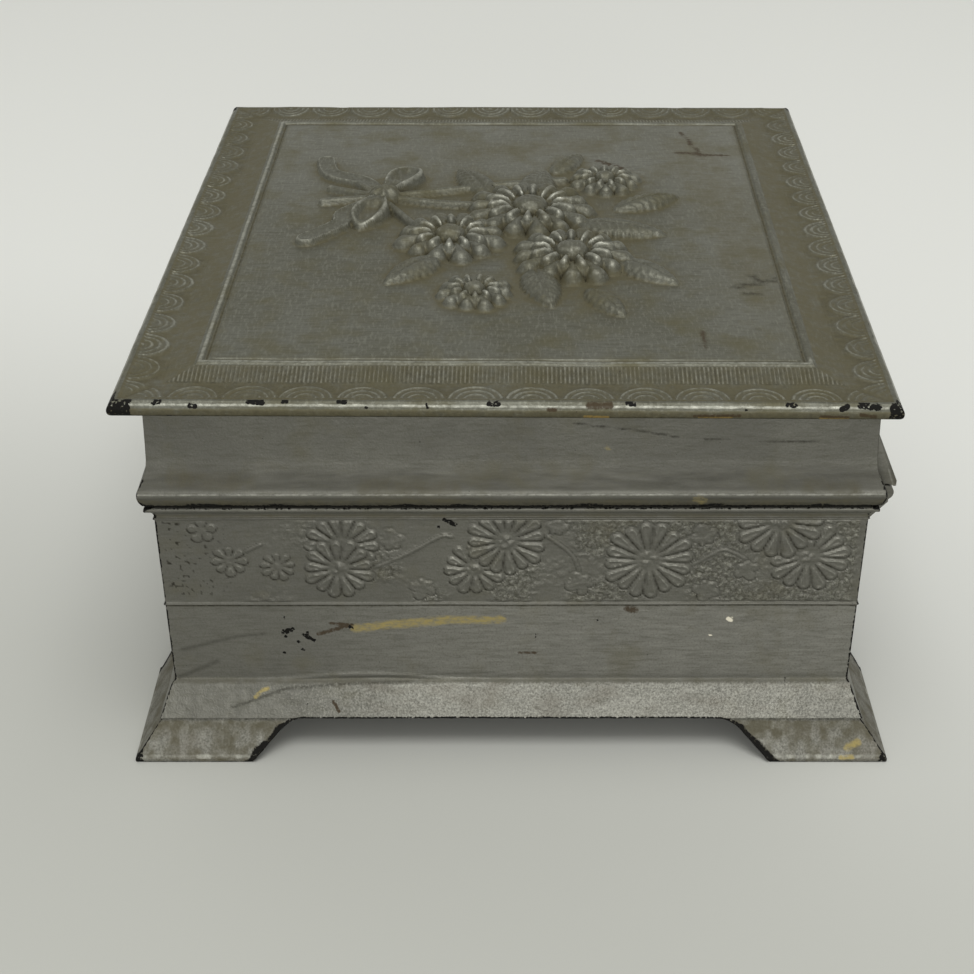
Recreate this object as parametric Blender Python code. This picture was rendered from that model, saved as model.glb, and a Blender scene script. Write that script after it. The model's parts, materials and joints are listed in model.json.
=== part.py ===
"""Trinket box of cast white metal, soldered up from mitred plates, with a hinged lid.

Metres, +Z up. The origin is at the middle of the underside, where the feet stand.
The front faces -Y and the lid opens backwards on two pins at +Y.
Outlines are written as (out, z): out is the distance outside the edge of the lid's slab,
so a wall that stands inside that edge has a negative out.
"""
import math

import bmesh
import bpy
from mathutils import Matrix, Vector

MM = 0.001

# Lid slab, its border and its panel
LID_WIDTH = 110 * MM
LID_DEPTH = 100 * MM
SLAB_THICKNESS = 2.2 * MM
SLAB_ROUND_TOP = 0.8 * MM
SLAB_ROUND_LOW = 0.5 * MM
SLAB_CORNER = 0.9 * MM
SLAB_SKEW = -0.76
SLAB_SHIFT = -0.25 * MM
LIP_WIDTH = 1.2 * MM
SCALLOP_WIDTH = 4.6 * MM
BORDER_DISH = 0.5 * MM
BORDER_SLANT = 0.35 * MM
FLUTE_WIDTH = 4.0 * MM
FRAME_WIDTH = 0.8 * MM
FRAME_RISE = 0.6 * MM
FRAME_EDGE = 0.2 * MM
GROOVE_WIDTH = 0.9 * MM
GROOVE_SLOPE = 0.25 * MM
GROOVE_DEPTH = 0.35 * MM
PANEL_DROP = 0.15 * MM

# Heights of the bands, from the ground up
FOOT_HEIGHT = 5.0 * MM
MOULDING_HEIGHT = 5.0 * MM
BAND_HEIGHT = 13.4 * MM
FRIEZE_HEIGHT = 13.9 * MM
RIM_HEIGHT = 2.2 * MM
PARTING = 0.4 * MM
BEAD_HEIGHT = 2.9 * MM
SKIRT_HEIGHT = 10.7 * MM

# How far each band stands from the slab's edge
SKIRT_INSET = 2.9 * MM
SKIRT_FLARE = 0.75 * MM
WALL_INSET = 2.8 * MM
BEAD_REACH = 1.0 * MM
RIM_REACH = 1.1 * MM
RIM_LIP = 0.5 * MM
MOULDING_REACH = 2.4 * MM
MOULDING_SHOULDER = 0.5 * MM
FOOT_REACH = 3.25 * MM
FOOT_EDGE = 0.9 * MM
FOOT_GROOVE = 0.5 * MM
GROOVE_SINK = 0.3 * MM
RIDGE_SIZE = 0.25 * MM
EDGE_ROUND = 0.2 * MM

# Castings, floor and clearances
WALL = 1.8 * MM
SKIRT_WALL = 1.8 * MM
FOOT_WALL = 2.0 * MM
GAP = 0.3 * MM
FLOOR_THICKNESS = 1.2 * MM
LEDGE_WIDTH = 1.2 * MM
LEDGE_THICKNESS = 1.2 * MM
LEDGE_CLEARANCE = 0.2 * MM
SOLDER_LEG = 1.3 * MM

# Arches between the feet
FRONT_FOOT_LENGTH = 19.8 * MM
SIDE_FOOT_LENGTH = 16.3 * MM
ARCH_SLOPE = 42.0
ARCH_FILLET = 1.8 * MM
CUT_PAST = 1.0 * MM

# Hinges: the lid's knuckle turns between two posts on the base, under a wedge on the skirt
PIN_RADIUS = 0.4 * MM
PIN_CLEARANCE = 0.25 * MM
PIN_COVER = 1.0 * MM
KNUCKLE_RADIUS = 1.1 * MM
KNUCKLE_LENGTH = 4.4 * MM
KNUCKLE_STANDOFF = 0.05 * MM
KNUCKLE_DROP = 0.1 * MM
HINGE_FROM_END = 3.3 * MM
WEDGE_HEIGHT = 8.8 * MM
WEDGE_SHOULDER = 0.3 * MM
WEDGE_REACH = 1.3 * MM
WEDGE_LIP = 0.85 * MM
POST_LENGTH = 3.0 * MM
POST_INWARD = 0.9 * MM
POST_OUTWARD = 0.5 * MM
POST_TAIL = 2.6 * MM
ROOT_DEPTH = 0.9 * MM
POST_MARGIN = 0.1 * MM

# Lining
LINING_THICKNESS = 0.8 * MM
LINING_BELOW_RIM = 1.2 * MM
FLOOR_PAD_THICKNESS = 2.6 * MM
LID_PAD_THICKNESS = 2.4 * MM
PAD_CROWN = 0.7 * MM
PAD_SIDE_ROUND = 0.9 * MM
PAD_UNDERCUT = 0.45 * MM

# Fineness of the round stretches
ROUND_STEPS = 4
BEAD_STEPS = 6
KNUCKLE_SIDES = 21
PIN_SIDES = 16
PAD_CELLS = 10
WELD_DISTANCE = 0.001 * MM

# Levels and faces that follow from the sizes above
Z_MOULDING_TOP = FOOT_HEIGHT + MOULDING_HEIGHT
Z_FRIEZE_LOW = Z_MOULDING_TOP + BAND_HEIGHT
Z_FRIEZE_TOP = Z_FRIEZE_LOW + FRIEZE_HEIGHT
Z_RIM = Z_FRIEZE_TOP + RIM_HEIGHT
Z_LID_LOW = Z_RIM + PARTING
Z_BEAD_TOP = Z_LID_LOW + BEAD_HEIGHT
Z_SKIRT_TOP = Z_BEAD_TOP + SKIRT_HEIGHT
Z_SLAB_LOW = Z_SKIRT_TOP + GAP
Z_SLAB_TOP = Z_SLAB_LOW + SLAB_THICKNESS
Z_FRAME_TOP = Z_SLAB_TOP + FRAME_RISE
Z_PANEL = Z_FRAME_TOP - PANEL_DROP
Z_LEDGE_LOW = FOOT_HEIGHT + LEDGE_CLEARANCE
Z_LEDGE_TOP = Z_LEDGE_LOW + LEDGE_THICKNESS
Z_FLOOR_LOW = Z_LEDGE_TOP + GAP
Z_FLOOR_TOP = Z_FLOOR_LOW + FLOOR_THICKNESS
Z_LINING_LOW = Z_FLOOR_TOP + GAP
Z_LINING_TOP = Z_RIM - LINING_BELOW_RIM

OUT_WALL = -WALL_INSET
OUT_WALL_INSIDE = OUT_WALL - WALL
OUT_RIM = OUT_WALL + RIM_REACH
OUT_SKIRT_TOP = -SKIRT_INSET
OUT_SKIRT_LOW = OUT_SKIRT_TOP + SKIRT_FLARE
OUT_SKIRT_INSIDE_TOP = OUT_SKIRT_TOP - SKIRT_WALL
OUT_SKIRT_INSIDE_LOW = OUT_SKIRT_LOW - SKIRT_WALL
OUT_MOULDING = OUT_WALL + MOULDING_REACH
OUT_FOOT = OUT_MOULDING + FOOT_REACH
OUT_LINING = OUT_WALL_INSIDE - GAP
OUT_LINING_INSIDE = OUT_LINING - LINING_THICKNESS

BACK_SKIRT_FACE = LID_DEPTH / 2 + OUT_SKIRT_LOW
BACK_WALL_FACE = LID_DEPTH / 2 + OUT_WALL
HINGE_ROOT = BACK_SKIRT_FACE - ROOT_DEPTH
PIN_Y = BACK_SKIRT_FACE + KNUCKLE_RADIUS + KNUCKLE_STANDOFF
PIN_Z = Z_LID_LOW + KNUCKLE_RADIUS - KNUCKLE_DROP
HINGE_LENGTH = KNUCKLE_LENGTH + 2 * GAP + 2 * POST_LENGTH
HINGE_X = LID_WIDTH / 2 - HINGE_FROM_END - HINGE_LENGTH / 2
WEDGE_LIP_Y = PIN_Y + WEDGE_REACH
WEDGE_LIP_Z = PIN_Z + KNUCKLE_RADIUS * math.sin(math.radians(60))

BORDER_WIDTH = LIP_WIDTH + SCALLOP_WIDTH + FLUTE_WIDTH + FRAME_WIDTH + GROOVE_WIDTH
PANEL_HALF = min(LID_WIDTH, LID_DEPTH) / 2 - BORDER_WIDTH
MITRE_SHIFT = GAP / 2 * math.sqrt(2)

SIDES = {
    # name: half of its length, its distance from the middle, its turn about Z, its foot length
    "front": (LID_WIDTH / 2, LID_DEPTH / 2, 0, FRONT_FOOT_LENGTH),
    "right": (LID_DEPTH / 2, LID_WIDTH / 2, 90, SIDE_FOOT_LENGTH),
    "back": (LID_WIDTH / 2, LID_DEPTH / 2, 180, FRONT_FOOT_LENGTH),
    "left": (LID_DEPTH / 2, LID_WIDTH / 2, 270, SIDE_FOOT_LENGTH),
}
CORNERS = {
    "front_left": (-1, -1),
    "front_right": (1, -1),
    "back_right": (1, 1),
    "back_left": (-1, 1),
}

# Daisies on the frieze of the right-hand wall, where they are cut off at the frieze's top edge.
# Along is in hundredths of the wall's half length, up and radius in hundredths of the frieze.
# The daisies in front stand higher by the lift.
FRONT_LIFT = 0.25 * MM
FRIEZE_DAISIES = (
    # along, up, radius, petals, turn in degrees, lift
    (-46.4, 42, 34, 13, 10, FRONT_LIFT),
    (-45.0, 68, 35, 14, 0, 0),
    (-9.8, 42, 30, 12, 5, 0),
    (-1.2, 73, 38, 15, 12, FRONT_LIFT),
    (36.9, 51, 43, 16, 6, 0),
    (71.2, 96, 41, 14, 3, FRONT_LIFT),
    (79.8, 55, 39, 14, 9, 0),
)
FRIEZE_RUN = {
    # side: direction of the row of daisies, its shift along the wall in the same hundredths
    "front": (-1, 5),
    "right": (1, 0),
    "back": (1, -4),
    "left": (-1, 3),
}
PETAL_RISE = 0.35 * MM
CUT_RISE = 0.1 * MM
EYE_FOOT_RISE = 0.22 * MM
EYE_RISE = 0.5 * MM
PETAL_CUT = 0.2
EYE_SHARE = 0.24
EYE_CLIP = 0.8

# Posy on the lid, seen from the front. Places, lengths and widths across the panel are in
# hundredths of the panel's half depth, so the posy keeps to its panel. Heights are real sizes.
SHARE = PANEL_HALF / 100
RELIEF_ROOT = 0.3 * MM
DAISIES = (
    # across, up, radius, height, petals, turn in degrees
    (-12, 9, 26.5, 3.1 * MM, 14, 9),
    (32.5, 24.5, 23.5, 2.9 * MM, 13, 0),
    (15.5, -22, 22, 2.6 * MM, 12, 15),
    (-44, 40, 15.5, 2.1 * MM, 11, 0),
    (63.5, -11.5, 14.5, 2.0 * MM, 11, 20),
)
LEAVES = (
    # across, up, length, width, height, direction in degrees
    (5, 43, 39, 16.5, 1.5 * MM, 76),
    (-40, 12, 36, 15.5, 1.5 * MM, 172),
    (58, 13, 34, 14.5, 1.5 * MM, 12),
    (44, 52, 31, 13.5, 1.4 * MM, 48),
    (-22, 56, 31, 13.5, 1.4 * MM, 118),
    (-43, -14, 34, 14, 1.4 * MM, 205),
    (43, -35, 32.5, 14, 1.4 * MM, -38),
    (70, 36, 26, 11, 1.2 * MM, 30),
    (-64, 25, 26, 11, 1.2 * MM, 150),
)
STEMS = (
    # points across and up, from the flower to below the bow
    ((-16, -3), (-19, -26), (-25, -49), (-35, -73)),
    ((13, -31), (-8, -43), (-26, -53), (-47, -66)),
    ((-44, 23), (-38, -5), (-27, -47), (-21, -75)),
)
STEM_RADIUS = 1.0 * MM
STEM_TAPER = 0.2
BOW_KNOT = (-25.5, -50.5)
BOW_KNOT_RADIUS = 7
BOW_KNOT_HEIGHT = 2.4 * MM
BOW_KNOT_SIDES = 5
BOW_LOOPS = (
    # length, width, height, direction in degrees
    (32.5, 18, 2.0 * MM, 158),
    (32.5, 18, 2.0 * MM, -14),
)
BOW_TAILS = (
    # points across and up
    ((-28.5, -53), (-41.5, -60), (-50.5, -74), (-65, -78)),
    ((-22, -53), (-8, -65), (2.5, -66), (17, -78)),
)
TAIL_WIDTH = 3.2 * MM
TAIL_HEIGHT = 0.9 * MM
TAIL_FLARE = 0.25


def clear_scene():
    for item in list(bpy.data.objects):
        bpy.data.objects.remove(item, do_unlink=True)
    for mesh in list(bpy.data.meshes):
        bpy.data.meshes.remove(mesh)


def linear_colour(hex_colour):
    """Linear colour of an sRGB hex value."""
    channels = [int(hex_colour[i:i + 2], 16) / 255 for i in (0, 2, 4)]
    linear = [c / 12.92 if c <= 0.04045 else ((c + 0.055) / 1.055) ** 2.4 for c in channels]
    return (*linear, 1.0)


def make_material(name, hex_colour, roughness, metallic):
    material = bpy.data.materials.new(name)
    material.use_nodes = True
    shader = material.node_tree.nodes["Principled BSDF"]
    shader.inputs["Base Color"].default_value = linear_colour(hex_colour)
    shader.inputs["Roughness"].default_value = roughness
    shader.inputs["Metallic"].default_value = metallic
    material.diffuse_color = linear_colour(hex_colour)
    return material


def rounded(corners):
    """Outline through corners of (a, b, fillet radius), each fillet drawn as an arc."""
    points = []
    count = len(corners)
    for index, (a, b, radius) in enumerate(corners):
        here = Vector((a, b))
        if radius == 0:
            points.append(here)
            continue
        to_last = (Vector(corners[index - 1][:2]) - here).normalized()
        to_next = (Vector(corners[(index + 1) % count][:2]) - here).normalized()
        half_angle = to_last.angle(to_next) / 2
        centre = here + (to_last + to_next).normalized() * (radius / math.sin(half_angle))
        start = here + to_last * (radius / math.tan(half_angle)) - centre
        end = here + to_next * (radius / math.tan(half_angle)) - centre
        for step in range(ROUND_STEPS + 1):
            spoke = start.lerp(end, step / ROUND_STEPS)
            points.append(centre + spoke.normalized() * radius)
    return [(point.x, point.y) for point in points]


def arc(a, b, radius_a, radius_b, start, stop, steps):
    """Points on an ellipse about (a, b), angles in degrees."""
    angles = [math.radians(start + (stop - start) * step / steps) for step in range(steps + 1)]
    return [(a + radius_a * math.cos(angle), b + radius_b * math.sin(angle)) for angle in angles]


def add_object(name, bm, material, cutter=False):
    bmesh.ops.recalc_face_normals(bm, faces=bm.faces)
    mesh = bpy.data.meshes.new(name)
    bm.to_mesh(mesh)
    bm.free()
    item = bpy.data.objects.new(name, mesh)
    bpy.context.collection.objects.link(item)
    if material:
        mesh.materials.append(material)
    if cutter:
        item.hide_render = True
        item.display_type = "WIRE"
    return item


def extrude_outline(points, direction):
    """Solid made by pushing a closed outline of 3-D points along a direction."""
    bm = bmesh.new()
    face = bm.faces.new([bm.verts.new(point) for point in points])
    pushed = bmesh.ops.extrude_face_region(bm, geom=[face], use_keep_orig=True)
    moved = [item for item in pushed["geom"] if isinstance(item, bmesh.types.BMVert)]
    bmesh.ops.translate(bm, verts=moved, vec=direction)
    return bm


def skin_loops(bm, loops):
    """Faces between each loop of points and the next."""
    for this, following in zip(loops, loops[1:]):
        for k in range(len(this)):
            n = (k + 1) % len(this)
            bm.faces.new((this[k], this[n], following[n], following[k]))


def boolean(target, tool, operation="DIFFERENCE"):
    modifier = target.modifiers.new(operation.lower() + "_" + tool.name, "BOOLEAN")
    modifier.operation = operation
    modifier.object = tool
    modifier.solver = "EXACT"


def mitred_plate(name, profile, side, material):
    """A plate cast to one profile and mitred at both ends, turned about Z to its side."""
    half_length, reach, turn, _ = SIDES[side]
    bm = extrude_outline([(1.0, -(reach + out), z) for out, z in profile], (-2.0, 0, 0))
    for vert in bm.verts:
        out = -vert.co.y - reach
        vert.co.x = math.copysign(half_length + out - MITRE_SHIFT, vert.co.x)
    plate = add_object(name, bm, material)
    plate.rotation_euler.z = math.radians(turn)
    return plate


def base_wall_profile():
    """Rim, frieze, plain band, plinth moulding, groove and foot, then up the inside."""
    cavetto_low = Z_FRIEZE_TOP + 2 * RIDGE_SIZE
    cavetto_high = Z_RIM - EDGE_ROUND - RIM_LIP
    foot_top = FOOT_HEIGHT - FOOT_GROOVE
    outline = [(OUT_WALL_INSIDE, Z_RIM), (OUT_RIM - EDGE_ROUND, Z_RIM), (OUT_RIM, Z_RIM - EDGE_ROUND)]
    outline += arc(OUT_RIM, cavetto_low, RIM_REACH, cavetto_high - cavetto_low, 90, 180, ROUND_STEPS)
    for ridge in (Z_FRIEZE_TOP, Z_FRIEZE_LOW):
        outline.append((OUT_WALL, ridge + RIDGE_SIZE))
        outline.append((OUT_WALL + RIDGE_SIZE, ridge))
        outline.append((OUT_WALL, ridge - RIDGE_SIZE))
    outline.append((OUT_WALL, Z_MOULDING_TOP + EDGE_ROUND))
    outline.append((OUT_WALL + EDGE_ROUND, Z_MOULDING_TOP))
    outline.append((OUT_WALL + MOULDING_SHOULDER, Z_MOULDING_TOP - EDGE_ROUND))
    outline.append((OUT_MOULDING - EDGE_ROUND, FOOT_HEIGHT + 2 * EDGE_ROUND))
    outline.append((OUT_MOULDING, FOOT_HEIGHT + EDGE_ROUND))
    outline.append((OUT_MOULDING - GROOVE_SINK, FOOT_HEIGHT))
    outline.append((OUT_MOULDING + EDGE_ROUND, foot_top))
    outline.append((OUT_FOOT - EDGE_ROUND, FOOT_EDGE))
    outline.append((OUT_FOOT, FOOT_EDGE - EDGE_ROUND))
    outline += [(OUT_FOOT, 0), (OUT_FOOT - FOOT_WALL, 0)]
    outline.append((OUT_MOULDING - FOOT_WALL, foot_top))
    outline.append((OUT_WALL_INSIDE, Z_LEDGE_LOW))
    outline.append((OUT_WALL_INSIDE - LEDGE_WIDTH, Z_LEDGE_LOW))
    outline.append((OUT_WALL_INSIDE - LEDGE_WIDTH, Z_LEDGE_TOP))
    outline.append((OUT_WALL_INSIDE, Z_LEDGE_TOP))
    return outline


def arch_cutter(side):
    """The space between two feet: flat top, filleted shoulders and sloped ends."""
    half_length, reach, turn, foot_length = SIDES[side]
    slope_run = 1 / math.tan(math.radians(ARCH_SLOPE))
    half_bottom = half_length + OUT_FOOT - foot_length
    low = half_bottom + CUT_PAST * slope_run
    high = half_bottom - FOOT_HEIGHT * slope_run
    corners = [(-low, -CUT_PAST, 0), (low, -CUT_PAST, 0)]
    corners += [(high, FOOT_HEIGHT, ARCH_FILLET), (-high, FOOT_HEIGHT, ARCH_FILLET)]
    inner = reach + OUT_WALL_INSIDE - LEDGE_WIDTH - CUT_PAST
    outer = reach + OUT_FOOT + CUT_PAST
    bm = extrude_outline([(x, -outer, z) for x, z in rounded(corners)], (0, outer - inner, 0))
    cutter = add_object("arch_" + side, bm, None, cutter=True)
    cutter.rotation_euler.z = math.radians(turn)
    return cutter


def frieze_daisy(side, along, up, radius, petals, turn, lift):
    """Flower head in low relief: petals with sunk cuts between them, and a raised eye.

    Petals that would pass the frieze's top edge are cut off there.
    """
    half_length, reach, wall_turn, _ = SIDES[side]
    direction, shift = FRIEZE_RUN[side]
    face = -(reach + OUT_WALL)
    middle_x = (direction * along + shift) / 100 * half_length
    middle_z = Z_FRIEZE_LOW + up / 100 * FRIEZE_HEIGHT
    size = radius / 100 * FRIEZE_HEIGHT
    headroom = Z_FRIEZE_TOP - RIDGE_SIZE / 2 - middle_z
    bm = bmesh.new()
    foot, edge, eye_foot = [], [], []
    for step in range(2 * petals):
        in_cut = step % 2
        angle = math.pi * step / petals + math.radians(turn)
        reach = size * (1 - PETAL_CUT * in_cut)
        if reach * math.sin(angle) > headroom:
            reach = headroom / math.sin(angle)
        rise = lift + (CUT_RISE if in_cut else PETAL_RISE)
        eye_size = min(size * EYE_SHARE, reach * EYE_CLIP)
        eye_rise = lift + EYE_FOOT_RISE
        rings = ((foot, reach, -RELIEF_ROOT), (edge, reach, rise), (eye_foot, eye_size, eye_rise))
        for loop, spoke, height in rings:
            x = middle_x + spoke * math.cos(angle)
            z = middle_z + spoke * math.sin(angle)
            loop.append(bm.verts.new((x, face - height, z)))
    skin_loops(bm, [foot, edge, eye_foot])
    bm.faces.new(foot)
    eye = bm.verts.new((middle_x, face - lift - EYE_RISE, middle_z))
    for k in range(len(eye_foot)):
        bm.faces.new((eye, eye_foot[k - 1], eye_foot[k]))
    bmesh.ops.rotate(bm, verts=bm.verts, matrix=Matrix.Rotation(math.radians(wall_turn), 3, "Z"))
    return bm


def make_base_walls(metal):
    walls = {}
    for side in SIDES:
        wall = mitred_plate(f"base_{side}_wall", base_wall_profile(), side, metal)
        boolean(wall, arch_cutter(side))
        for number, daisy in enumerate(FRIEZE_DAISIES):
            form = add_object(f"{side}_daisy_{number}", frieze_daisy(side, *daisy), None, cutter=True)
            boolean(wall, form, "UNION")
        walls[side] = wall
    return walls


def lid_skirt_profile():
    """Flared skirt over a projecting half-round bead, then up the inside."""
    flare_high = (OUT_SKIRT_TOP + SKIRT_FLARE * 0.22, Z_SKIRT_TOP - SKIRT_HEIGHT * 0.45)
    flare_low = (OUT_SKIRT_TOP + SKIRT_FLARE * 0.6, Z_SKIRT_TOP - SKIRT_HEIGHT * 0.8)
    bead_middle = Z_LID_LOW + BEAD_HEIGHT * 0.38
    bead_half = BEAD_HEIGHT * 0.45
    outline = [(OUT_SKIRT_TOP, Z_SKIRT_TOP), flare_high, flare_low, (OUT_SKIRT_LOW, Z_BEAD_TOP)]
    outline += arc(OUT_SKIRT_LOW, bead_middle, BEAD_REACH, bead_half, 75, -50, BEAD_STEPS)
    outline.append((OUT_SKIRT_LOW + BEAD_REACH * 0.45, Z_LID_LOW))
    outline.append((OUT_SKIRT_INSIDE_LOW, Z_LID_LOW))
    outline.append((OUT_SKIRT_INSIDE_TOP, Z_SKIRT_TOP))
    return outline


def make_lid_skirts(metal):
    return {side: mitred_plate(f"lid_{side}_skirt", lid_skirt_profile(), side, metal) for side in SIDES}


def along_x(points, centre_x, length):
    """Solid from a (y, z) outline, centred on centre_x and as long as length."""
    return extrude_outline([(centre_x - length / 2, y, z) for y, z in points], (length, 0, 0))


def hinge_cylinder(radius, centre_x, length, sides):
    bm = bmesh.new()
    bmesh.ops.create_cone(bm, cap_ends=True, segments=sides, radius1=radius, radius2=radius, depth=length)
    bmesh.ops.rotate(bm, verts=bm.verts, matrix=Matrix.Rotation(math.pi / 2, 3, "Y"))
    bmesh.ops.translate(bm, verts=bm.verts, vec=(centre_x, PIN_Y, PIN_Z))
    return bm


def lug_outline():
    """Wedge from the skirt out over the pin, and the round knuckle under it."""
    wedge_top = PIN_Z + WEDGE_HEIGHT
    outline = [(HINGE_ROOT, wedge_top), (HINGE_ROOT + WEDGE_SHOULDER, wedge_top)]
    outline += [(WEDGE_LIP_Y, WEDGE_LIP_Z + WEDGE_LIP), (WEDGE_LIP_Y, WEDGE_LIP_Z)]
    outline += arc(PIN_Y, PIN_Z, KNUCKLE_RADIUS, KNUCKLE_RADIUS, 30, -140, KNUCKLE_SIDES // 3)
    outline.append((HINGE_ROOT, PIN_Z - KNUCKLE_RADIUS * math.sin(math.radians(40))))
    return outline


def post_room_outline():
    """Room that a post needs in the skirt's bead, up to the underside of the wedge."""
    inner = PIN_Y - KNUCKLE_RADIUS - GAP - POST_MARGIN
    outer = WEDGE_LIP_Y + CUT_PAST
    low = Z_LID_LOW - CUT_PAST
    under_wedge = WEDGE_LIP_Z + POST_MARGIN
    below_pin = [(PIN_Y, PIN_Z), (inner, PIN_Z), (inner, low), (outer, low)]
    return below_pin + [(outer, under_wedge), (PIN_Y, under_wedge)]


def post_outline():
    """Round knuckle on a post that stands on the rim and tails off down the wall."""
    inner = PIN_Y - POST_INWARD
    outer = PIN_Y + POST_OUTWARD
    first = -math.degrees(math.acos(POST_OUTWARD / KNUCKLE_RADIUS))
    last = 180 + math.degrees(math.acos(POST_INWARD / KNUCKLE_RADIUS))
    outline = arc(PIN_Y, PIN_Z, KNUCKLE_RADIUS, KNUCKLE_RADIUS, first, last, KNUCKLE_SIDES * 2 // 3)
    outline += [(inner, Z_RIM - EDGE_ROUND), (HINGE_ROOT, Z_RIM - EDGE_ROUND)]
    outline += [(HINGE_ROOT, Z_RIM - POST_TAIL), (BACK_WALL_FACE, Z_RIM - POST_TAIL), (outer, Z_RIM)]
    return outline


def make_hinges(back_skirt, back_wall, steel):
    """Lugs on the lid's skirt, posts on the base's wall, and pins that stop short of the outer ends."""
    pins = []
    for side, sign in (("left", -1), ("right", 1)):
        centre = sign * HINGE_X
        lug = add_object("lug_" + side, along_x(lug_outline(), centre, HINGE_LENGTH), None, True)
        boolean(back_skirt, lug, "UNION")
        for place, toward in (("inner", -sign), ("outer", sign)):
            post_x = centre + toward * (KNUCKLE_LENGTH / 2 + GAP + POST_LENGTH / 2)
            room_length = POST_LENGTH + 2 * GAP
            turning = hinge_cylinder(KNUCKLE_RADIUS + GAP, post_x, room_length, KNUCKLE_SIDES)
            boolean(back_skirt, add_object(f"turning_room_{side}_{place}", turning, None, True))
            standing = along_x(post_room_outline(), post_x, room_length)
            boolean(back_skirt, add_object(f"post_room_{side}_{place}", standing, None, True))
            post = along_x(post_outline(), post_x, POST_LENGTH)
            boolean(back_wall, add_object(f"post_{side}_{place}", post, None, True), "UNION")

        inner_end = HINGE_LENGTH / 2 + CUT_PAST
        outer_end = HINGE_LENGTH / 2 - PIN_COVER
        hole_x = centre + sign * (outer_end - inner_end) / 2
        hole = hinge_cylinder(PIN_RADIUS + PIN_CLEARANCE, hole_x, inner_end + outer_end, PIN_SIDES)
        bore = add_object("bore_" + side, hole, None, True)
        boolean(back_skirt, bore)
        boolean(back_wall, bore)

        pin_x = centre - sign * PIN_COVER / 2
        pin = hinge_cylinder(PIN_RADIUS, pin_x, HINGE_LENGTH - PIN_COVER - 2 * GAP, PIN_SIDES)
        pins.append(add_object(f"{side}_hinge_pin", pin, steel))
    return pins


def set_askew(item):
    """The slab was soldered on a little out of square with the skirts."""
    item.rotation_euler.z = math.radians(SLAB_SKEW)
    item.location.y = SLAB_SHIFT


def rectangle_ring(bm, inset, z, corner):
    """Loop round the slab at one inset and height; a corner of 0 leaves its points on one spot."""
    loop = []
    for quarter, (sx, sy) in enumerate(((1, 1), (-1, 1), (-1, -1), (1, -1))):
        x = sx * (LID_WIDTH / 2 - inset - corner)
        y = sy * (LID_DEPTH / 2 - inset - corner)
        for px, py in arc(x, y, corner, corner, 90 * quarter, 90 * (quarter + 1), ROUND_STEPS):
            loop.append(bm.verts.new((px, py, z)))
    return loop


def make_top_plate(metal):
    """Slab with a rounded edge, dished border, sloped flute strip and framed panel."""
    edge = arc(SLAB_ROUND_LOW, Z_SLAB_LOW + SLAB_ROUND_LOW, SLAB_ROUND_LOW, SLAB_ROUND_LOW, 270, 180, 2)
    edge += arc(SLAB_ROUND_TOP, Z_SLAB_TOP - SLAB_ROUND_TOP, SLAB_ROUND_TOP, SLAB_ROUND_TOP, 180, 90, 3)
    levels = [(inset, z, SLAB_CORNER) for inset, z in edge]

    border = LIP_WIDTH + SCALLOP_WIDTH
    frame_outside = border + FLUTE_WIDTH
    frame_inside = frame_outside + FRAME_WIDTH
    panel_edge = frame_inside + GROOVE_WIDTH
    groove = Z_FRAME_TOP - GROOVE_DEPTH
    levels.append((LIP_WIDTH, Z_SLAB_TOP, 0))
    levels.append((LIP_WIDTH + 2 * BORDER_DISH, Z_SLAB_TOP - BORDER_SLANT, 0))
    levels.append((border, Z_SLAB_TOP - BORDER_DISH, 0))
    levels.append((frame_outside, Z_FRAME_TOP - FRAME_EDGE, 0))
    levels.append((frame_outside + FRAME_EDGE, Z_FRAME_TOP, 0))
    levels.append((frame_inside, Z_FRAME_TOP, 0))
    levels.append((frame_inside + GROOVE_SLOPE, groove, 0))
    levels.append((panel_edge - GROOVE_SLOPE, groove, 0))
    levels.append((panel_edge, Z_PANEL, 0))

    bm = bmesh.new()
    loops = [rectangle_ring(bm, *level) for level in levels]
    skin_loops(bm, loops)
    bm.faces.new(loops[0])
    bm.faces.new(loops[-1])
    bmesh.ops.remove_doubles(bm, verts=bm.verts, dist=WELD_DISTANCE)
    plate = add_object("lid_top_plate", bm, metal)
    set_askew(plate)
    return plate


# Rings of a daisy, from its edge to its eye: share of the radius, share of the height,
# how far the cut between two petals reaches in, and how far it sinks there
DAISY_RINGS = (
    (1.0, 0.0, 0.13, 0.0),
    (0.97, 0.45, 0.11, 0.42),
    (0.72, 0.86, 0.06, 0.23),
    (0.4, 0.8, 0.02, 0.08),
    (0.3, 0.6, 0.0, 0.0),
    (0.26, 0.95, 0.0, 0.0),
    (0.14, 1.0, 0.0, 0.0),
)
PETAL_STEPS = 4


def daisy_form(across, up, radius, height, petals, turn):
    """Flower head: domed petals round a ring, with a raised eye in the middle."""
    bm = bmesh.new()
    around = petals * PETAL_STEPS
    loops = []
    for share, level, cut, sink in DAISY_RINGS:
        loop = []
        for step in range(around):
            between = 0.5 - 0.5 * math.cos(2 * math.pi * step / PETAL_STEPS)
            angle = 2 * math.pi * step / around + math.radians(turn)
            reach = radius * (share - cut * between)
            z = height * level * (1 - sink * between) if level else -RELIEF_ROOT
            spot = (across + reach * math.cos(angle), up + reach * math.sin(angle))
            loop.append(bm.verts.new((spot[0] * SHARE, spot[1] * SHARE, Z_PANEL + z)))
        loops.append(loop)
    skin_loops(bm, loops)
    bm.faces.new(loops[0])
    bm.faces.new(loops[-1])
    return bm


def ridge_section(half_width, height):
    """Cross-section of a raised form: its sunk foot, its shoulders and its crown."""
    shoulder = (0.75 * half_width, 0.72 * height)
    foot = (half_width, -RELIEF_ROOT)
    return [(-foot[0], foot[1]), (-shoulder[0], shoulder[1]), (0, height), shoulder, foot]


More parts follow.
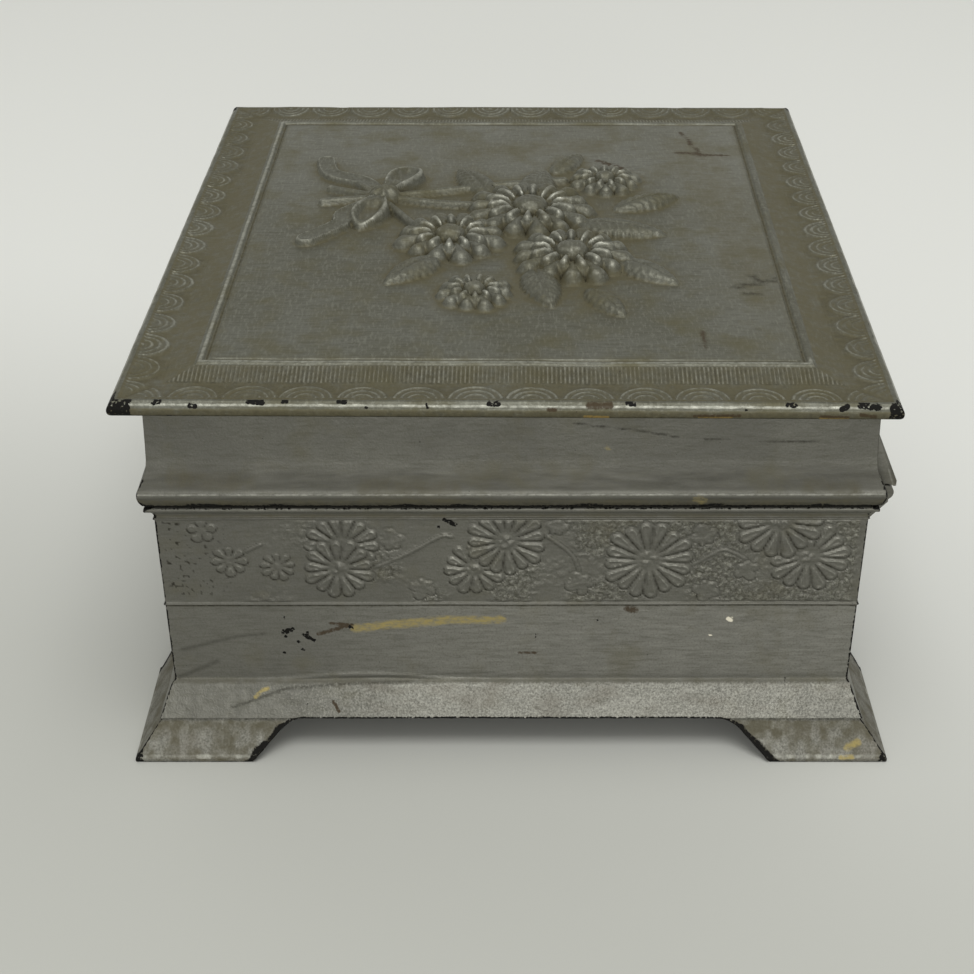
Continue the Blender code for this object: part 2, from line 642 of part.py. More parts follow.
def leaf_form(across, up, length, width, height, direction):
    """Pointed leaf with a raised midrib, lofted along its length."""
    bm = bmesh.new()
    stations = 8
    half_length = 0.5 * length * SHARE
    loops = []
    for step in range(1, stations):
        share = step / stations
        half_width = 0.5 * width * SHARE * math.sin(math.pi * share ** 0.85) ** 0.8
        crown = height * math.sqrt(math.sin(math.pi * share))
        x = half_length * (2 * share - 1)
        loops.append([bm.verts.new((x, y, z)) for y, z in ridge_section(half_width, crown)])
    skin_loops(bm, loops)
    for x, loop in ((-half_length, loops[0]), (half_length, loops[-1])):
        tip = bm.verts.new((x, 0, -RELIEF_ROOT))
        for k in range(len(loop)):
            bm.faces.new((tip, loop[k - 1], loop[k]))
    bmesh.ops.rotate(bm, verts=bm.verts, matrix=Matrix.Rotation(math.radians(direction), 3, "Z"))
    bmesh.ops.translate(bm, verts=bm.verts, vec=(across * SHARE, up * SHARE, Z_PANEL))
    return bm


def smooth_route(points, spans=4):
    """Points along a curve through the given ones, each with its direction towards the next."""
    line = [Vector((x, y)) * SHARE for x, y in points]
    route = []
    for index in range(len(line) - 1):
        here = line[index]
        there = line[index + 1]
        leave = (there - line[max(index - 1, 0)]) / 2
        arrive = (line[min(index + 2, len(line) - 1)] - here) / 2
        for step in range(spans):
            t = step / spans
            spot = here * (2 * t ** 3 - 3 * t ** 2 + 1) + leave * (t ** 3 - 2 * t ** 2 + t)
            spot += there * (3 * t ** 2 - 2 * t ** 3) + arrive * (t ** 3 - t ** 2)
            route.append(spot)
    route.append(line[-1])
    return route


def strip_form(points, half_width, height, growth):
    """Raised strip along a smooth line through the points, such as a stem or a ribbon's tail."""
    bm = bmesh.new()
    route = smooth_route(points)
    last = len(route) - 1
    loops = []
    for index, spot in enumerate(route):
        ahead = route[min(index + 1, last)] - route[max(index - 1, 0)]
        side = Vector((-ahead.y, ahead.x)).normalized()
        half = half_width * (1 + growth * index / last)
        loop = []
        for across, z in ridge_section(half, height):
            place = spot + side * across
            loop.append(bm.verts.new((place.x, place.y, Z_PANEL + z)))
        loops.append(loop)
    skin_loops(bm, loops)
    bm.faces.new(loops[0])
    bm.faces.new(loops[-1])
    return bm


def make_relief(plate):
    """Flowers, leaves, stems and bow, each cast in one with the panel."""
    forms = [strip_form(stem, STEM_RADIUS, STEM_RADIUS, -STEM_TAPER) for stem in STEMS]
    forms += [strip_form(tail, TAIL_WIDTH / 2, TAIL_HEIGHT, TAIL_FLARE) for tail in BOW_TAILS]
    forms += [leaf_form(*leaf) for leaf in LEAVES]
    for length, width, height, direction in BOW_LOOPS:
        across = BOW_KNOT[0] + 0.5 * length * math.cos(math.radians(direction))
        up = BOW_KNOT[1] + 0.5 * length * math.sin(math.radians(direction))
        forms.append(leaf_form(across, up, length, width, height, direction))
    knot = daisy_form(*BOW_KNOT, BOW_KNOT_RADIUS, BOW_KNOT_HEIGHT, BOW_KNOT_SIDES, 0)
    forms.append(knot)
    forms += [daisy_form(*daisy) for daisy in DAISIES]
    for number, form in enumerate(forms):
        raised = add_object(f"relief_form_{number}", form, None, True)
        set_askew(raised)
        boolean(plate, raised, "UNION")
    weld = plate.modifiers.new("weld", "WELD")
    weld.merge_threshold = WELD_DISTANCE


def make_floor(metal):
    x = LID_WIDTH / 2 + OUT_WALL_INSIDE - GAP
    y = LID_DEPTH / 2 + OUT_WALL_INSIDE - GAP
    outline = [(-x, -y, Z_FLOOR_LOW), (x, -y, Z_FLOOR_LOW), (x, y, Z_FLOOR_LOW), (-x, y, Z_FLOOR_LOW)]
    add_object("floor_plate", extrude_outline(outline, (0, 0, FLOOR_THICKNESS)), metal)


def make_fillets(body, low, high, solder):
    """Soft solder run up each inside corner, a three-cornered stick that leans with the walls.

    low and high are the (out, z) of the stick's right angle at its two ends.
    """
    fillets = []
    for place, (sx, sy) in CORNERS.items():
        bm = bmesh.new()
        loops = []
        for out, z in (low, high):
            x = LID_WIDTH / 2 + out
            y = LID_DEPTH / 2 + out
            section = ((x, y), (x - SOLDER_LEG, y), (x, y - SOLDER_LEG))
            loops.append([bm.verts.new((sx * a, sy * b, z)) for a, b in section])
        skin_loops(bm, loops)
        bm.faces.new(loops[0])
        bm.faces.new(loops[1])
        fillets.append(add_object(f"{body}_solder_{place}", bm, solder))
    return fillets


def make_pad(name, out, z_glued, thickness, upward, cloth):
    """Padded card: flat where it is glued, drawn in at the sides and crowned on the open face."""
    half_width = LID_WIDTH / 2 + out
    half_depth = LID_DEPTH / 2 + out
    bm = bmesh.new()
    bmesh.ops.create_grid(bm, x_segments=PAD_CELLS, y_segments=PAD_CELLS, size=1.0)
    grown = bmesh.ops.extrude_face_region(bm, geom=list(bm.faces), use_keep_orig=True)
    open_face = {item for item in grown["geom"] if isinstance(item, bmesh.types.BMVert)}
    for vert in bm.verts:
        a, b = vert.co.x, vert.co.y
        if vert not in open_face:
            x = a * (half_width - PAD_UNDERCUT)
            y = b * (half_depth - PAD_UNDERCUT)
            vert.co = Vector((x, y, z_glued))
            continue
        at_side = math.isclose(max(abs(a), abs(b)), 1.0, rel_tol=1e-5)
        swell = (1 - a ** 4) * (1 - b ** 4)
        drop = PAD_SIDE_ROUND if at_side else PAD_CROWN * (1 - swell)
        vert.co = Vector((a * half_width, b * half_depth, z_glued + upward * (thickness - drop)))
    return add_object(name, bm, cloth)


def make_wall_linings(cloth):
    """Cloth over card on the four walls, cut back at the corners for the solder."""
    profile = [(OUT_LINING, Z_LINING_LOW), (OUT_LINING, Z_LINING_TOP)]
    profile += [(OUT_LINING_INSIDE, Z_LINING_TOP), (OUT_LINING_INSIDE, Z_LINING_LOW)]
    linings = [mitred_plate(f"{side}_lining", profile, side, cloth) for side in SIDES]
    room = SOLDER_LEG + 2 * GAP + math.sqrt(2) * GAP
    for place, (sx, sy) in CORNERS.items():
        bm = bmesh.new()
        bmesh.ops.create_cone(bm, cap_ends=True, segments=4, radius1=room, radius2=room, depth=2 * Z_RIM)
        corner = (sx * (LID_WIDTH / 2 + OUT_WALL_INSIDE), sy * (LID_DEPTH / 2 + OUT_WALL_INSIDE), Z_RIM)
        bmesh.ops.translate(bm, verts=bm.verts, vec=corner)
        cutter = add_object("solder_room_" + place, bm, None, cutter=True)
        for lining in linings:
            boolean(lining, cutter)


def lid_solder_ends():
    """The lid's solder leans with the flared skirt and keeps the gap to it at both ends."""
    lean = (OUT_SKIRT_INSIDE_LOW - OUT_SKIRT_INSIDE_TOP) / (Z_SKIRT_TOP - Z_LID_LOW)
    low = (OUT_SKIRT_INSIDE_LOW - lean * GAP - GAP, Z_LID_LOW + GAP)
    high = (OUT_SKIRT_INSIDE_TOP - GAP, Z_SKIRT_TOP)
    return low, high


def main():
    clear_scene()
    painted = make_material("painted_cast_metal", "86857d", 0.42, 0.75)
    patinated = make_material("patinated_cast_metal", "827d6c", 0.45, 0.7)
    tinplate = make_material("tinplate", "8f8c86", 0.35, 1.0)
    solder = make_material("soft_solder", "9a9a98", 0.4, 1.0)
    steel = make_material("steel_wire", "77746e", 0.4, 1.0)
    cloth = make_material("lining_cloth", "7a2f33", 0.9, 0.0)

    walls = make_base_walls(painted)
    make_floor(tinplate)
    make_fillets("base", (OUT_LINING, Z_LINING_LOW), (OUT_LINING, Z_LINING_TOP), solder)
    make_wall_linings(cloth)
    make_pad("floor_pad", OUT_LINING_INSIDE - GAP, Z_LINING_LOW, FLOOR_PAD_THICKNESS, 1, cloth)

    skirts = make_lid_skirts(painted)
    plate = make_top_plate(patinated)
    make_relief(plate)
    pins = make_hinges(skirts["back"], walls["back"], steel)
    fillets = make_fillets("lid", *lid_solder_ends(), solder)
    pad_out = OUT_SKIRT_INSIDE_TOP - GAP - SOLDER_LEG
    pad = make_pad("lid_pad", pad_out, Z_SKIRT_TOP, LID_PAD_THICKNESS, -1, cloth)

    axis = bpy.data.objects.new("lid_hinge_axis", None)
    axis.location = (0, PIN_Y, PIN_Z)
    bpy.context.collection.objects.link(axis)
    for part in [plate, pad, *skirts.values(), *pins, *fillets]:
        part.parent = axis
        part.location -= axis.location


main()
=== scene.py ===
"""Looks of a small hinged keepsake box: soldered cast plates, silver paint and a velvet lining.

Castings are drawn in millimetres as (out, z) outlines, where out is the distance outside the
edge of the lid's slab and z the height over the table. Plates run along their own side.
"""
import json
import math

import bmesh
import bpy
import numpy as np
from mathutils import Matrix, Vector


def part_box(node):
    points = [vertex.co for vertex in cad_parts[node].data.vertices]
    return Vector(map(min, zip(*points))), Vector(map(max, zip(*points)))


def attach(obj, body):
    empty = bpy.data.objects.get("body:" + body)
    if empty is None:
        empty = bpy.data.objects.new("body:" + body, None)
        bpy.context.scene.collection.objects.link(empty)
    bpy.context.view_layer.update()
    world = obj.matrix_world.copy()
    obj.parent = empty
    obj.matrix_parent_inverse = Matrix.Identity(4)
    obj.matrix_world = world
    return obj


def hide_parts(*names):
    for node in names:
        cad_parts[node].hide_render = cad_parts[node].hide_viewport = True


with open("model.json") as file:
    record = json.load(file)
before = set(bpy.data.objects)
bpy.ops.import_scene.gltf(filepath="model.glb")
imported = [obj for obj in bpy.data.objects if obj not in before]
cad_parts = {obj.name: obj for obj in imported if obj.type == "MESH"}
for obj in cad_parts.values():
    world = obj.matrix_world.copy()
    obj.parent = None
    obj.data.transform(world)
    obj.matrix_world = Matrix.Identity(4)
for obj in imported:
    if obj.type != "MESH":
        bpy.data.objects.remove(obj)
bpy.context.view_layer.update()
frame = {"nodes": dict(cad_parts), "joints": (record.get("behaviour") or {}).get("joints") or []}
nodes = frame["nodes"]
scene = bpy.context.scene
MM = 0.001


# The place is a pale matt table under soft room light, seen from the box's right-hand side.
# The camera stands where the photographer stood: its place follows from the slab's corners.
CAMERA_PLACE = Vector((240.17, -1.40, 159.65)) * MM
CAMERA_PITCH = math.radians(32.002)
CAMERA_YAW = math.radians(-0.53)
CAMERA_ROLL = math.radians(-0.355)
FOCAL_PIXELS = 1698.4
PHOTO_SIDE = 974
SENSOR = 36.0


def linear(hex_colour, alpha=1.0):
    """Linear colour of an sRGB hex value."""
    channels = [int(hex_colour[i:i + 2], 16) / 255 for i in (0, 2, 4)]
    return (*[c / 12.92 if c <= 0.04045 else ((c + 0.055) / 1.055) ** 2.4 for c in channels], alpha)


def add_node(tree, kind, inputs=(), **settings):
    """One node with its settings; inputs gives each socket a value or another node's output."""
    item = tree.nodes.new(kind)
    for key, value in settings.items():
        setattr(item, key, value)
    for socket, value in dict(inputs).items():
        if isinstance(value, bpy.types.NodeSocket):
            tree.links.new(value, item.inputs[socket])
        else:
            item.inputs[socket].default_value = value
    return item


def new_material(name):
    """New material with its node tree and its shader."""
    material = bpy.data.materials.new(name)
    material.use_nodes = True
    return material, material.node_tree, material.node_tree.nodes["Principled BSDF"]


def to_mesh(bm, name):
    """New mesh from a bmesh, which is then freed."""
    mesh = bpy.data.meshes.new(name)
    bm.to_mesh(mesh)
    bm.free()
    return mesh


camera_data = bpy.data.cameras.new("camera")
camera_data.sensor_width = SENSOR
camera_data.lens = FOCAL_PIXELS / PHOTO_SIDE * SENSOR
camera_data.clip_start = 0.01
camera = bpy.data.objects.new("camera", camera_data)
scene.collection.objects.link(camera)
ahead = Vector((-math.cos(CAMERA_YAW) * math.cos(CAMERA_PITCH),
                math.sin(CAMERA_YAW) * math.cos(CAMERA_PITCH),
                -math.sin(CAMERA_PITCH)))
level_right = ahead.cross(Vector((0, 0, 1))).normalized()
level_up = level_right.cross(ahead)
camera_right = math.cos(CAMERA_ROLL) * level_right + math.sin(CAMERA_ROLL) * level_up
camera_up = camera_right.cross(ahead)
camera_turn = Matrix((camera_right, camera_up, -ahead)).transposed()
camera.matrix_world = Matrix.Translation(CAMERA_PLACE) @ camera_turn.to_4x4()
scene.camera = camera

TABLE_SIZE = 3.0
table_bm = bmesh.new()
bmesh.ops.create_grid(table_bm, x_segments=1, y_segments=1, size=TABLE_SIZE)
table_mesh = to_mesh(table_bm, "table_top")
table_top = bpy.data.objects.new("table_top", table_mesh)
scene.collection.objects.link(table_top)

# Matt laminate, a warm off-white that keeps the box's shadow. The room's light falls off over it
# towards one corner, which a broad slow change of tone stands for.
TABLE_TONES = ("bdbeb7", "e4e5e0")
FADE_DIRECTION = (-0.92, 0.40, 0.0)
TONE_FROM, TONE_TO = -0.09, 0.07
laminate, tree, shader = new_material("matt_laminate")
table_place = add_node(tree, "ShaderNodeTexCoord").outputs["Object"]
across_table = add_node(tree, "ShaderNodeVectorMath", {0: table_place, 1: FADE_DIRECTION},
                        operation="DOT_PRODUCT")
table_fade = add_node(tree, "ShaderNodeMapRange",
                      {"Value": across_table.outputs["Value"], "From Min": TONE_FROM, "From Max": TONE_TO},
                      interpolation_type="SMOOTHSTEP")
table_tone = add_node(tree, "ShaderNodeMix",
                      {0: table_fade.outputs[0], 6: linear(TABLE_TONES[0]), 7: linear(TABLE_TONES[1])},
                      data_type="RGBA")
tree.links.new(table_tone.outputs[2], shader.inputs["Base Color"])
shader.inputs["Roughness"].default_value = 0.6
shader.inputs["Specular IOR Level"].default_value = 0.3
table_mesh.materials.append(laminate)

# The room: even, slightly warm white, a little brighter where the camera and the gloss see it.
ROOM_LIGHT = 0.60
world = bpy.data.worlds.new("room")
scene.world = world
world.use_nodes = True
tree = world.node_tree
tree.nodes.clear()
light_path = add_node(tree, "ShaderNodeLightPath")
seen = add_node(tree, "ShaderNodeBackground", {"Color": linear("d2d3cd"), "Strength": 1.0})
glow = add_node(tree, "ShaderNodeBackground", {"Color": linear("f4f4f1"), "Strength": ROOM_LIGHT})
looked_at = add_node(tree, "ShaderNodeMath", {0: light_path.outputs["Is Camera Ray"],
                                              1: light_path.outputs["Is Glossy Ray"]}, operation="MAXIMUM")
room = add_node(tree, "ShaderNodeMixShader", {0: looked_at.outputs[0], 1: glow.outputs[0],
                                              2: seen.outputs[0]})
add_node(tree, "ShaderNodeOutputWorld", {"Surface": room.outputs[0]})

# Lamps: a broad panel overhead, and a smaller one low behind the camera that the side wall faces.
LAMPS = (
    # name, place in metres, side in metres, watts
    ("overhead_panel", (0.20, 0.05, 0.90), 0.6, 4.0),
    ("low_front_panel", (0.96, 0.05, 0.17), 0.3, 2.9),
)
for name, place, side_length, watts in LAMPS:
    lamp_data = bpy.data.lights.new(name, "AREA")
    lamp_data.shape = "SQUARE"
    lamp_data.size = side_length
    lamp_data.energy = watts
    lamp = bpy.data.objects.new(name, lamp_data)
    lamp.location = place
    lamp.rotation_euler = (-Vector(place)).to_track_quat("-Z", "Y").to_euler()
    scene.collection.objects.link(lamp)
scene.view_settings.view_transform = "Standard"


# Base walls: four plates of antimony alloy, sand cast to one profile and soft soldered at the
# mitres. Rim, stippled daisy frieze, plain band, plinth moulding and bracket feet are one casting.
WIDTH, DEPTH = 110.0, 100.0
SIDES = {
    # name: half length, reach from the middle, turn in degrees, foot length
    "front": (WIDTH / 2, DEPTH / 2, 0, 19.8),
    "right": (DEPTH / 2, WIDTH / 2, 90, 16.3),
    "back": (WIDTH / 2, DEPTH / 2, 180, 19.8),
    "left": (DEPTH / 2, WIDTH / 2, 270, 16.3),
}
Z_FOOT, Z_MOULDING, Z_RIDGE, Z_FRIEZE, Z_RIM = 5.0, 10.0, 23.4, 37.3, 39.5
WALL_FACE, WALL_INSIDE, FOOT_FACE = -2.8, -4.6, 2.85
SEAM = 0.07
WALL_COLUMN = 0.72
FRIEZE_STEP = 0.22


def soften(corners, steps=3):
    """Outline through corners of (out, z, softness), each corner cut back by its softness."""
    points = []
    count = len(corners)
    for k, (out, z, soft) in enumerate(corners):
        here = np.array((out, z))
        if soft == 0:
            points.append(here)
            continue
        before = np.array(corners[k - 1][:2]) - here
        after = np.array(corners[(k + 1) % count][:2]) - here
        first = here + before * min(soft / np.hypot(*before), 0.45)
        last = here + after * min(soft / np.hypot(*after), 0.45)
        for t in np.linspace(0, 1, steps + 1):
            points.append((1 - t) ** 2 * first + 2 * t * (1 - t) * here + t ** 2 * last)
    return np.array(points)


def pace(points, fine_low, fine_high, fine, coarse):
    """Closed outline with points no further apart than coarse, or than fine between two heights."""
    paced = []
    for k, here in enumerate(points):
        there = points[(k + 1) % len(points)]
        outside = min(here[0], there[0]) > WALL_INSIDE + 0.5
        middle = (here[1] + there[1]) / 2
        step = fine if outside and fine_low < middle < fine_high else coarse
        spans = max(1, math.ceil(np.hypot(*(there - here)) / step))
        for span in range(spans):
            paced.append(here + (there - here) * span / spans)
    return np.array(paced)


def rise(value, low, high):
    """Smooth step from 0 at low to 1 at high."""
    share = np.clip((value - low) / (high - low), 0, 1)
    return share * share * (3 - 2 * share)


def bell(value, middle, width):
    """Soft line of a width: 1 where the value is the middle one, and falling to 0 beside it."""
    return np.exp(-((value - middle) / width) ** 2)


def dome(reach, radius):
    """Round swelling, from 1 in its middle to 0 at its radius."""
    return np.sqrt(np.clip(1 - (reach / radius) ** 2, 0, 1))


LATTICE = 97


def lumps(a, b, size, seed):
    """Smooth random lumps from -1 to 1, one about every size."""
    lattice = np.random.default_rng(seed).uniform(-1, 1, (LATTICE, LATTICE))
    p, q = a / size, b / size
    i, j = np.floor(p).astype(int), np.floor(q).astype(int)
    f, g = p - i, q - j
    f, g = f * f * (3 - 2 * f), g * g * (3 - 2 * g)
    i0, j0, i1, j1 = i % LATTICE, j % LATTICE, (i + 1) % LATTICE, (j + 1) % LATTICE
    low = lattice[i0, j0] * (1 - f) + lattice[i1, j0] * f
    high = lattice[i0, j1] * (1 - f) + lattice[i1, j1] * f
    return low * (1 - g) + high * g


def read_places(mesh):
    """Places of a mesh's points, as rows of x, y and z."""
    flat = np.zeros(len(mesh.vertices) * 3, np.float32)
    mesh.vertices.foreach_get("co", flat)
    return flat.reshape(-1, 3).astype(float)


def write_places(mesh, places):
    """Sets the places of a mesh's points."""
    mesh.vertices.foreach_set("co", places.astype(np.float32).ravel())
    mesh.update()


def side_turn(side):
    """Cosine and sine of the turn that takes the front to a side."""
    turn = math.radians(SIDES[side][2])
    return round(math.cos(turn)), round(math.sin(turn))


def to_world(along, out, z, side):
    """Places in metres of points given along, out of and above a side of the box."""
    c, s = side_turn(side)
    x, y = along, -(SIDES[side][1] + out)
    return np.stack((x * c - y * s, x * s + y * c, z), axis=1) * MM


def from_world(places, side):
    """Distances along, out of and above a side, in millimetres."""
    c, s = side_turn(side)
    x, y, z = (places / MM).T
    return x * c + y * s, -(y * c - x * s) - SIDES[side][1], z


def bend_ribbon(name, side, outline, column, cuts, shape, seam):
    """Long casting: a grid whose rows follow the outline and whose columns run along the side.

    cuts gives, for stretches of rows, how often their columns are cut finer. Each row ends at
    the mitre. shape takes (along, out, z, row) and returns the (out, z) of the modelled face.
    """
    half = SIDES[side][0]
    rows = len(outline)
    longest = half + outline[:, 0].max()
    columns = math.ceil(2 * longest / column)
    bm = bmesh.new()
    bmesh.ops.create_grid(bm, x_segments=columns, y_segments=rows, size=1)
    for first, last, times in cuts:
        fine = []
        for edge in bm.edges:
            a, b = edge.verts
            row = (a.co.y + 1) * rows / 2
            if abs(a.co.y - b.co.y) < 1e-5 and first - 0.5 < row < last + 0.5:
                fine.append(edge)
        bmesh.ops.subdivide_edges(bm, edges=fine, cuts=times, use_grid_fill=True)
    mesh = to_mesh(bm, name)
    flat = read_places(mesh)
    row = np.rint((flat[:, 1] + 1) * rows / 2).astype(int) % rows
    out, z = outline[row, 0], outline[row, 1]
    end = half + out - seam
    along = np.clip(flat[:, 0] * longest, -end, end)
    out, z = shape(along, out, z, row)
    write_places(mesh, to_world(along, out, z, side))
    return mesh


WELD = 0.0004


def close_mesh(mesh):
    """Joins rows that meet, fills open ends and turns the faces outwards."""
    bm = bmesh.new()
    bm.from_mesh(mesh)
    bmesh.ops.remove_doubles(bm, verts=bm.verts, dist=WELD * MM)
    rim = [edge for edge in bm.edges if edge.is_boundary]
    if rim:
        bmesh.ops.holes_fill(bm, edges=rim, sides=0)
    bmesh.ops.recalc_face_normals(bm, faces=bm.faces)
    bm.to_mesh(mesh)
    bm.free()


def add_piece(name, mesh, body, material, replaced=()):
    """Object of a finished mesh that rides on a body and may stand for CAD nodes."""
    mesh.name = name
    piece = bpy.data.objects.new(name, mesh)
    scene.collection.objects.link(piece)
    mesh.materials.clear()
    mesh.materials.append(material)
    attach(piece, body)
    if replaced:
        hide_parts(*replaced)
    return piece


def combine(mesh, tool_bm, operation):
    """Mesh after an exact Boolean with the solid in tool_bm."""
    bmesh.ops.recalc_face_normals(tool_bm, faces=tool_bm.faces)
    tool_mesh = to_mesh(tool_bm, "tool")
    work = bpy.data.objects.new("work", mesh)
    tool = bpy.data.objects.new("tool", tool_mesh)
    for item in (work, tool):
        scene.collection.objects.link(item)
    modifier = work.modifiers.new("combine", "BOOLEAN")
    modifier.operation = operation
    modifier.object = tool
    modifier.solver = "EXACT"
    bpy.context.view_layer.update()
    result = bpy.data.meshes.new_from_object(work.evaluated_get(bpy.context.evaluated_depsgraph_get()))
    for item in (work, tool):
        bpy.data.objects.remove(item)
    return result


def prism(points, direction):
    """Solid made by pushing a closed outline of 3-D points along a direction."""
    bm = bmesh.new()
    face = bm.faces.new([bm.verts.new(Vector(point) * MM) for point in points])
    pushed = bmesh.ops.extrude_face_region(bm, geom=[face], use_keep_orig=True)
    moved = [item for item in pushed["geom"] if isinstance(item, bmesh.types.BMVert)]
    bmesh.ops.translate(bm, verts=moved, vec=Vector(direction) * MM)
    return bm


def shade(mesh, angle):
    """Smooth shading, with edges sharp where faces turn by more than an angle."""
    mesh.shade_smooth()
    mesh.set_sharp_from_angle(angle=math.radians(angle))


def paint_mask(mesh, **masks):
    """Stores masks from 0 to 1 on the mesh's points, for the paint to read."""
    for name, values in masks.items():
        attribute = mesh.attributes.new(name, "FLOAT", "POINT")
        attribute.data.foreach_set("value", np.clip(values, 0, 1).astype(np.float32))


# Frieze: daisies with spoon-shaped petals on a stippled ground, with lobed leaves and tendrils.
# Places are along the plate and up from the ridge under the frieze.
BIG_DAISIES = (
    # along, up, radius, petals, turn; the ones in front come last of each group
    (-22.5, 9.5, 4.9, 14, 0),
    (-23.2, 5.85, 4.7, 13, 10),
    (-4.9, 5.8, 4.15, 12, 5),
    (-0.6, 10.2, 5.25, 15, 12),
    (18.45, 7.1, 6.0, 16, 6),
    (39.9, 7.7, 5.4, 14, 9),
    (35.6, 13.3, 5.7, 14, 3),
)
SMALL_DAISIES = (
    (-41.1, 12.0, 2.0, 5, 20),
    (-37.8, 7.1, 2.5, 8, 0),
    (-31.4, 6.2, 2.35, 9, 12),
)
FRIEZE_LEAVES = (
    # along, up, size, direction in degrees
    (-15.9, 9.9, 2.4, 100),
    (-11.8, 3.0, 2.5, 250),
    (6.1, 12.1, 2.1, 80),
    (9.8, 3.5, 2.6, 200),
    (25.8, 10.6, 2.4, 110),
    (26.6, 2.7, 2.5, 255),
    (31.5, 5.9, 2.3, 300),
)
TENDRILS = (
    # points along and up
    ((-18.9, 5.8), (-14.0, 8.2), (-9.5, 11.0), (-7.9, 11.0)),
    ((-37.8, 7.1), (-35.6, 8.6), (-33.4, 9.8)),
    ((24.5, 6.5), (26.6, 7.9), (28.6, 8.9), (31.5, 7.4)),
    ((4.7, 11.2), (8.2, 8.0), (9.4, 4.6)),
)
FRIEZE_DEPTH = 0.30
PETAL_FILL = 0.80
BIG_RADIUS = 4
SMALL_DEPTH = 0.35
MIRRORED = ("left", "front")


def daisy_field(a, b, flower, fill=PETAL_FILL):
    """How far inside a petal each point lies, and how far it is from the flower's middle."""
    across, up, radius, petals, turn = flower
    reach = np.hypot(a - across, b - up)
    angle = np.arctan2(b - up, a - across) - math.radians(turn)
    sector = 2 * math.pi / petals
    number = np.floor(angle / sector + 0.5)
    off = np.abs(angle - number * sector)
    length = radius * (1 + 0.05 * np.sin(number * 2.4 + turn))
    slope = math.tan(sector / 2) * fill
    tip = length * slope / (1 + slope)
    ring = length - tip
    forth, aside = reach * np.cos(off), reach * np.sin(off)
    flank = (slope * forth - aside) * math.cos(sector / 2)
    inside = np.where(forth < ring, flank, tip - np.hypot(forth - ring, aside))
    return inside, reach


def frieze_daisy(a, b, flower, depth):
    """Petals with a sunk outline, a raised rim and a dished middle, round a knobbly eye.

    Returns the height, the footprint, how dark the outline is painted (dirt, with painted shade on the
    petals' lower sides) and the painted highlight on their upper rims.
    """
    radius = flower[2]
    inside, reach = daisy_field(a, b, flower)
    higher, _ = daisy_field(a, b + 0.05, flower)
    below = rise((higher - inside) / 0.05, -0.5, 0.6)
    outer = rise(reach, 0.25 * radius, 0.5 * radius)
    rim = bell(inside, 0.27, 0.17) * (0.1 + 0.9 * outer)
    body = 0.35 * rise(inside, 0.0, 0.3) * (0.4 + 0.6 * outer)
    outline = bell(inside, -0.06, 0.15) * rise(reach, 0.2 * radius, 0.36 * radius)
    eye_size = 0.19 * radius + 0.2
    eye = 0.45 * dome(reach, eye_size)
    knobs = 0.8 * lumps(a, b, 0.36, 11) * (reach < eye_size)
    height = np.maximum(body + 0.45 * rim - 0.75 * outline, eye + knobs) * depth
    footprint = (inside > -0.3) | (reach < eye_size)
    # The outline is painted darker on the petals' lower sides, as shade, and their upper rims lighter, as a
    # painted highlight.
    return height, footprint, outline * (0.4 + 0.6 * below), rim * (1 - below) * outer


def frieze_leaf(a, b, leaf, depth):
    """Lobed leaf, almost flush: a raised edge and veins from its stalk."""
    across, up, size, direction = leaf
    dx, dy = a - across, b - up
    turn = np.arctan2(dy, dx) - math.radians(direction)
    reach = np.hypot(dx, dy)
    lobe = size * (0.55 + 0.45 * np.abs(np.cos(2.5 * turn)) ** 0.7) * (0.72 + 0.28 * np.cos(turn))
    inside = lobe - reach
    below = rise(-dy / np.maximum(reach, 0.01), -0.5, 0.5)
    rim = 0.35 * bell(inside, 0.16, 0.15)
    outline = bell(inside, -0.05, 0.12)
    veins = 0.35 * bell(reach * np.abs(np.sin(2.5 * turn)) / 2.5, 0, 0.10) * (inside > 0.2)
    height = (0.2 * rise(inside, -0.05, 0.3) + rim + veins - 0.4 * outline) * depth
    # The outline is painted darker on the leaf's lower side, as shade, and its upper rim lighter, as a
    # painted highlight.
    return height, inside > -0.28, outline * (0.2 + 0.6 * below), 0.4 * rim * (1 - below)


def line_distance(a, b, points):
    """Distance to the nearest stretch of a line through points."""
    nearest = np.full(a.shape, 1e3)
    for (x0, y0), (x1, y1) in zip(points, points[1:]):
        share = ((a - x0) * (x1 - x0) + (b - y0) * (y1 - y0)) / ((x1 - x0) ** 2 + (y1 - y0) ** 2)
        share = np.clip(share, 0, 1)
        nearest = np.minimum(nearest, np.hypot(a - x0 - share * (x1 - x0), b - y0 - share * (y1 - y0)))
    return nearest


def smooth_line(points, spans=6):
    """Points along a smooth curve through the given ones."""
    line = [np.array(point, float) for point in points]
    route = []
    for k in range(len(line) - 1):
        here, there = line[k], line[k + 1]
        leave = (there - line[max(k - 1, 0)]) / 2
        arrive = (line[min(k + 2, len(line) - 1)] - here) / 2
        for step in range(spans):
            t = step / spans
            route.append(here * (2 * t ** 3 - 3 * t ** 2 + 1) + leave * (t ** 3 - 2 * t ** 2 + t)
                         + there * (3 * t ** 2 - 2 * t ** 3) + arrive * (t ** 3 - t ** 2))
    route.append(line[-1])
    return route


def frieze_layout(side):
    """The frieze's motifs for one side: the long plates are spread out, and two run in mirror."""
    spread = SIDES[side][0] / SIDES["right"][0]
    flip = -1 if side in MIRRORED else 1
    move = {"front": 2.75, "right": 0.0, "back": -2.2, "left": 1.5}[side]

    def place(item):
        return (flip * item[0] * spread + move, *item[1:])

    def turned(item):
        direction = item[-1] if flip > 0 else 180 - item[-1]
        return (*place(item)[:-1], direction)

    daisies = [place(item) for item in SMALL_DAISIES + BIG_DAISIES]
    leaves = [turned(item) for item in FRIEZE_LEAVES]
    tendrils = [[place(point) for point in line] for line in TENDRILS]
    return daisies, leaves, tendrils


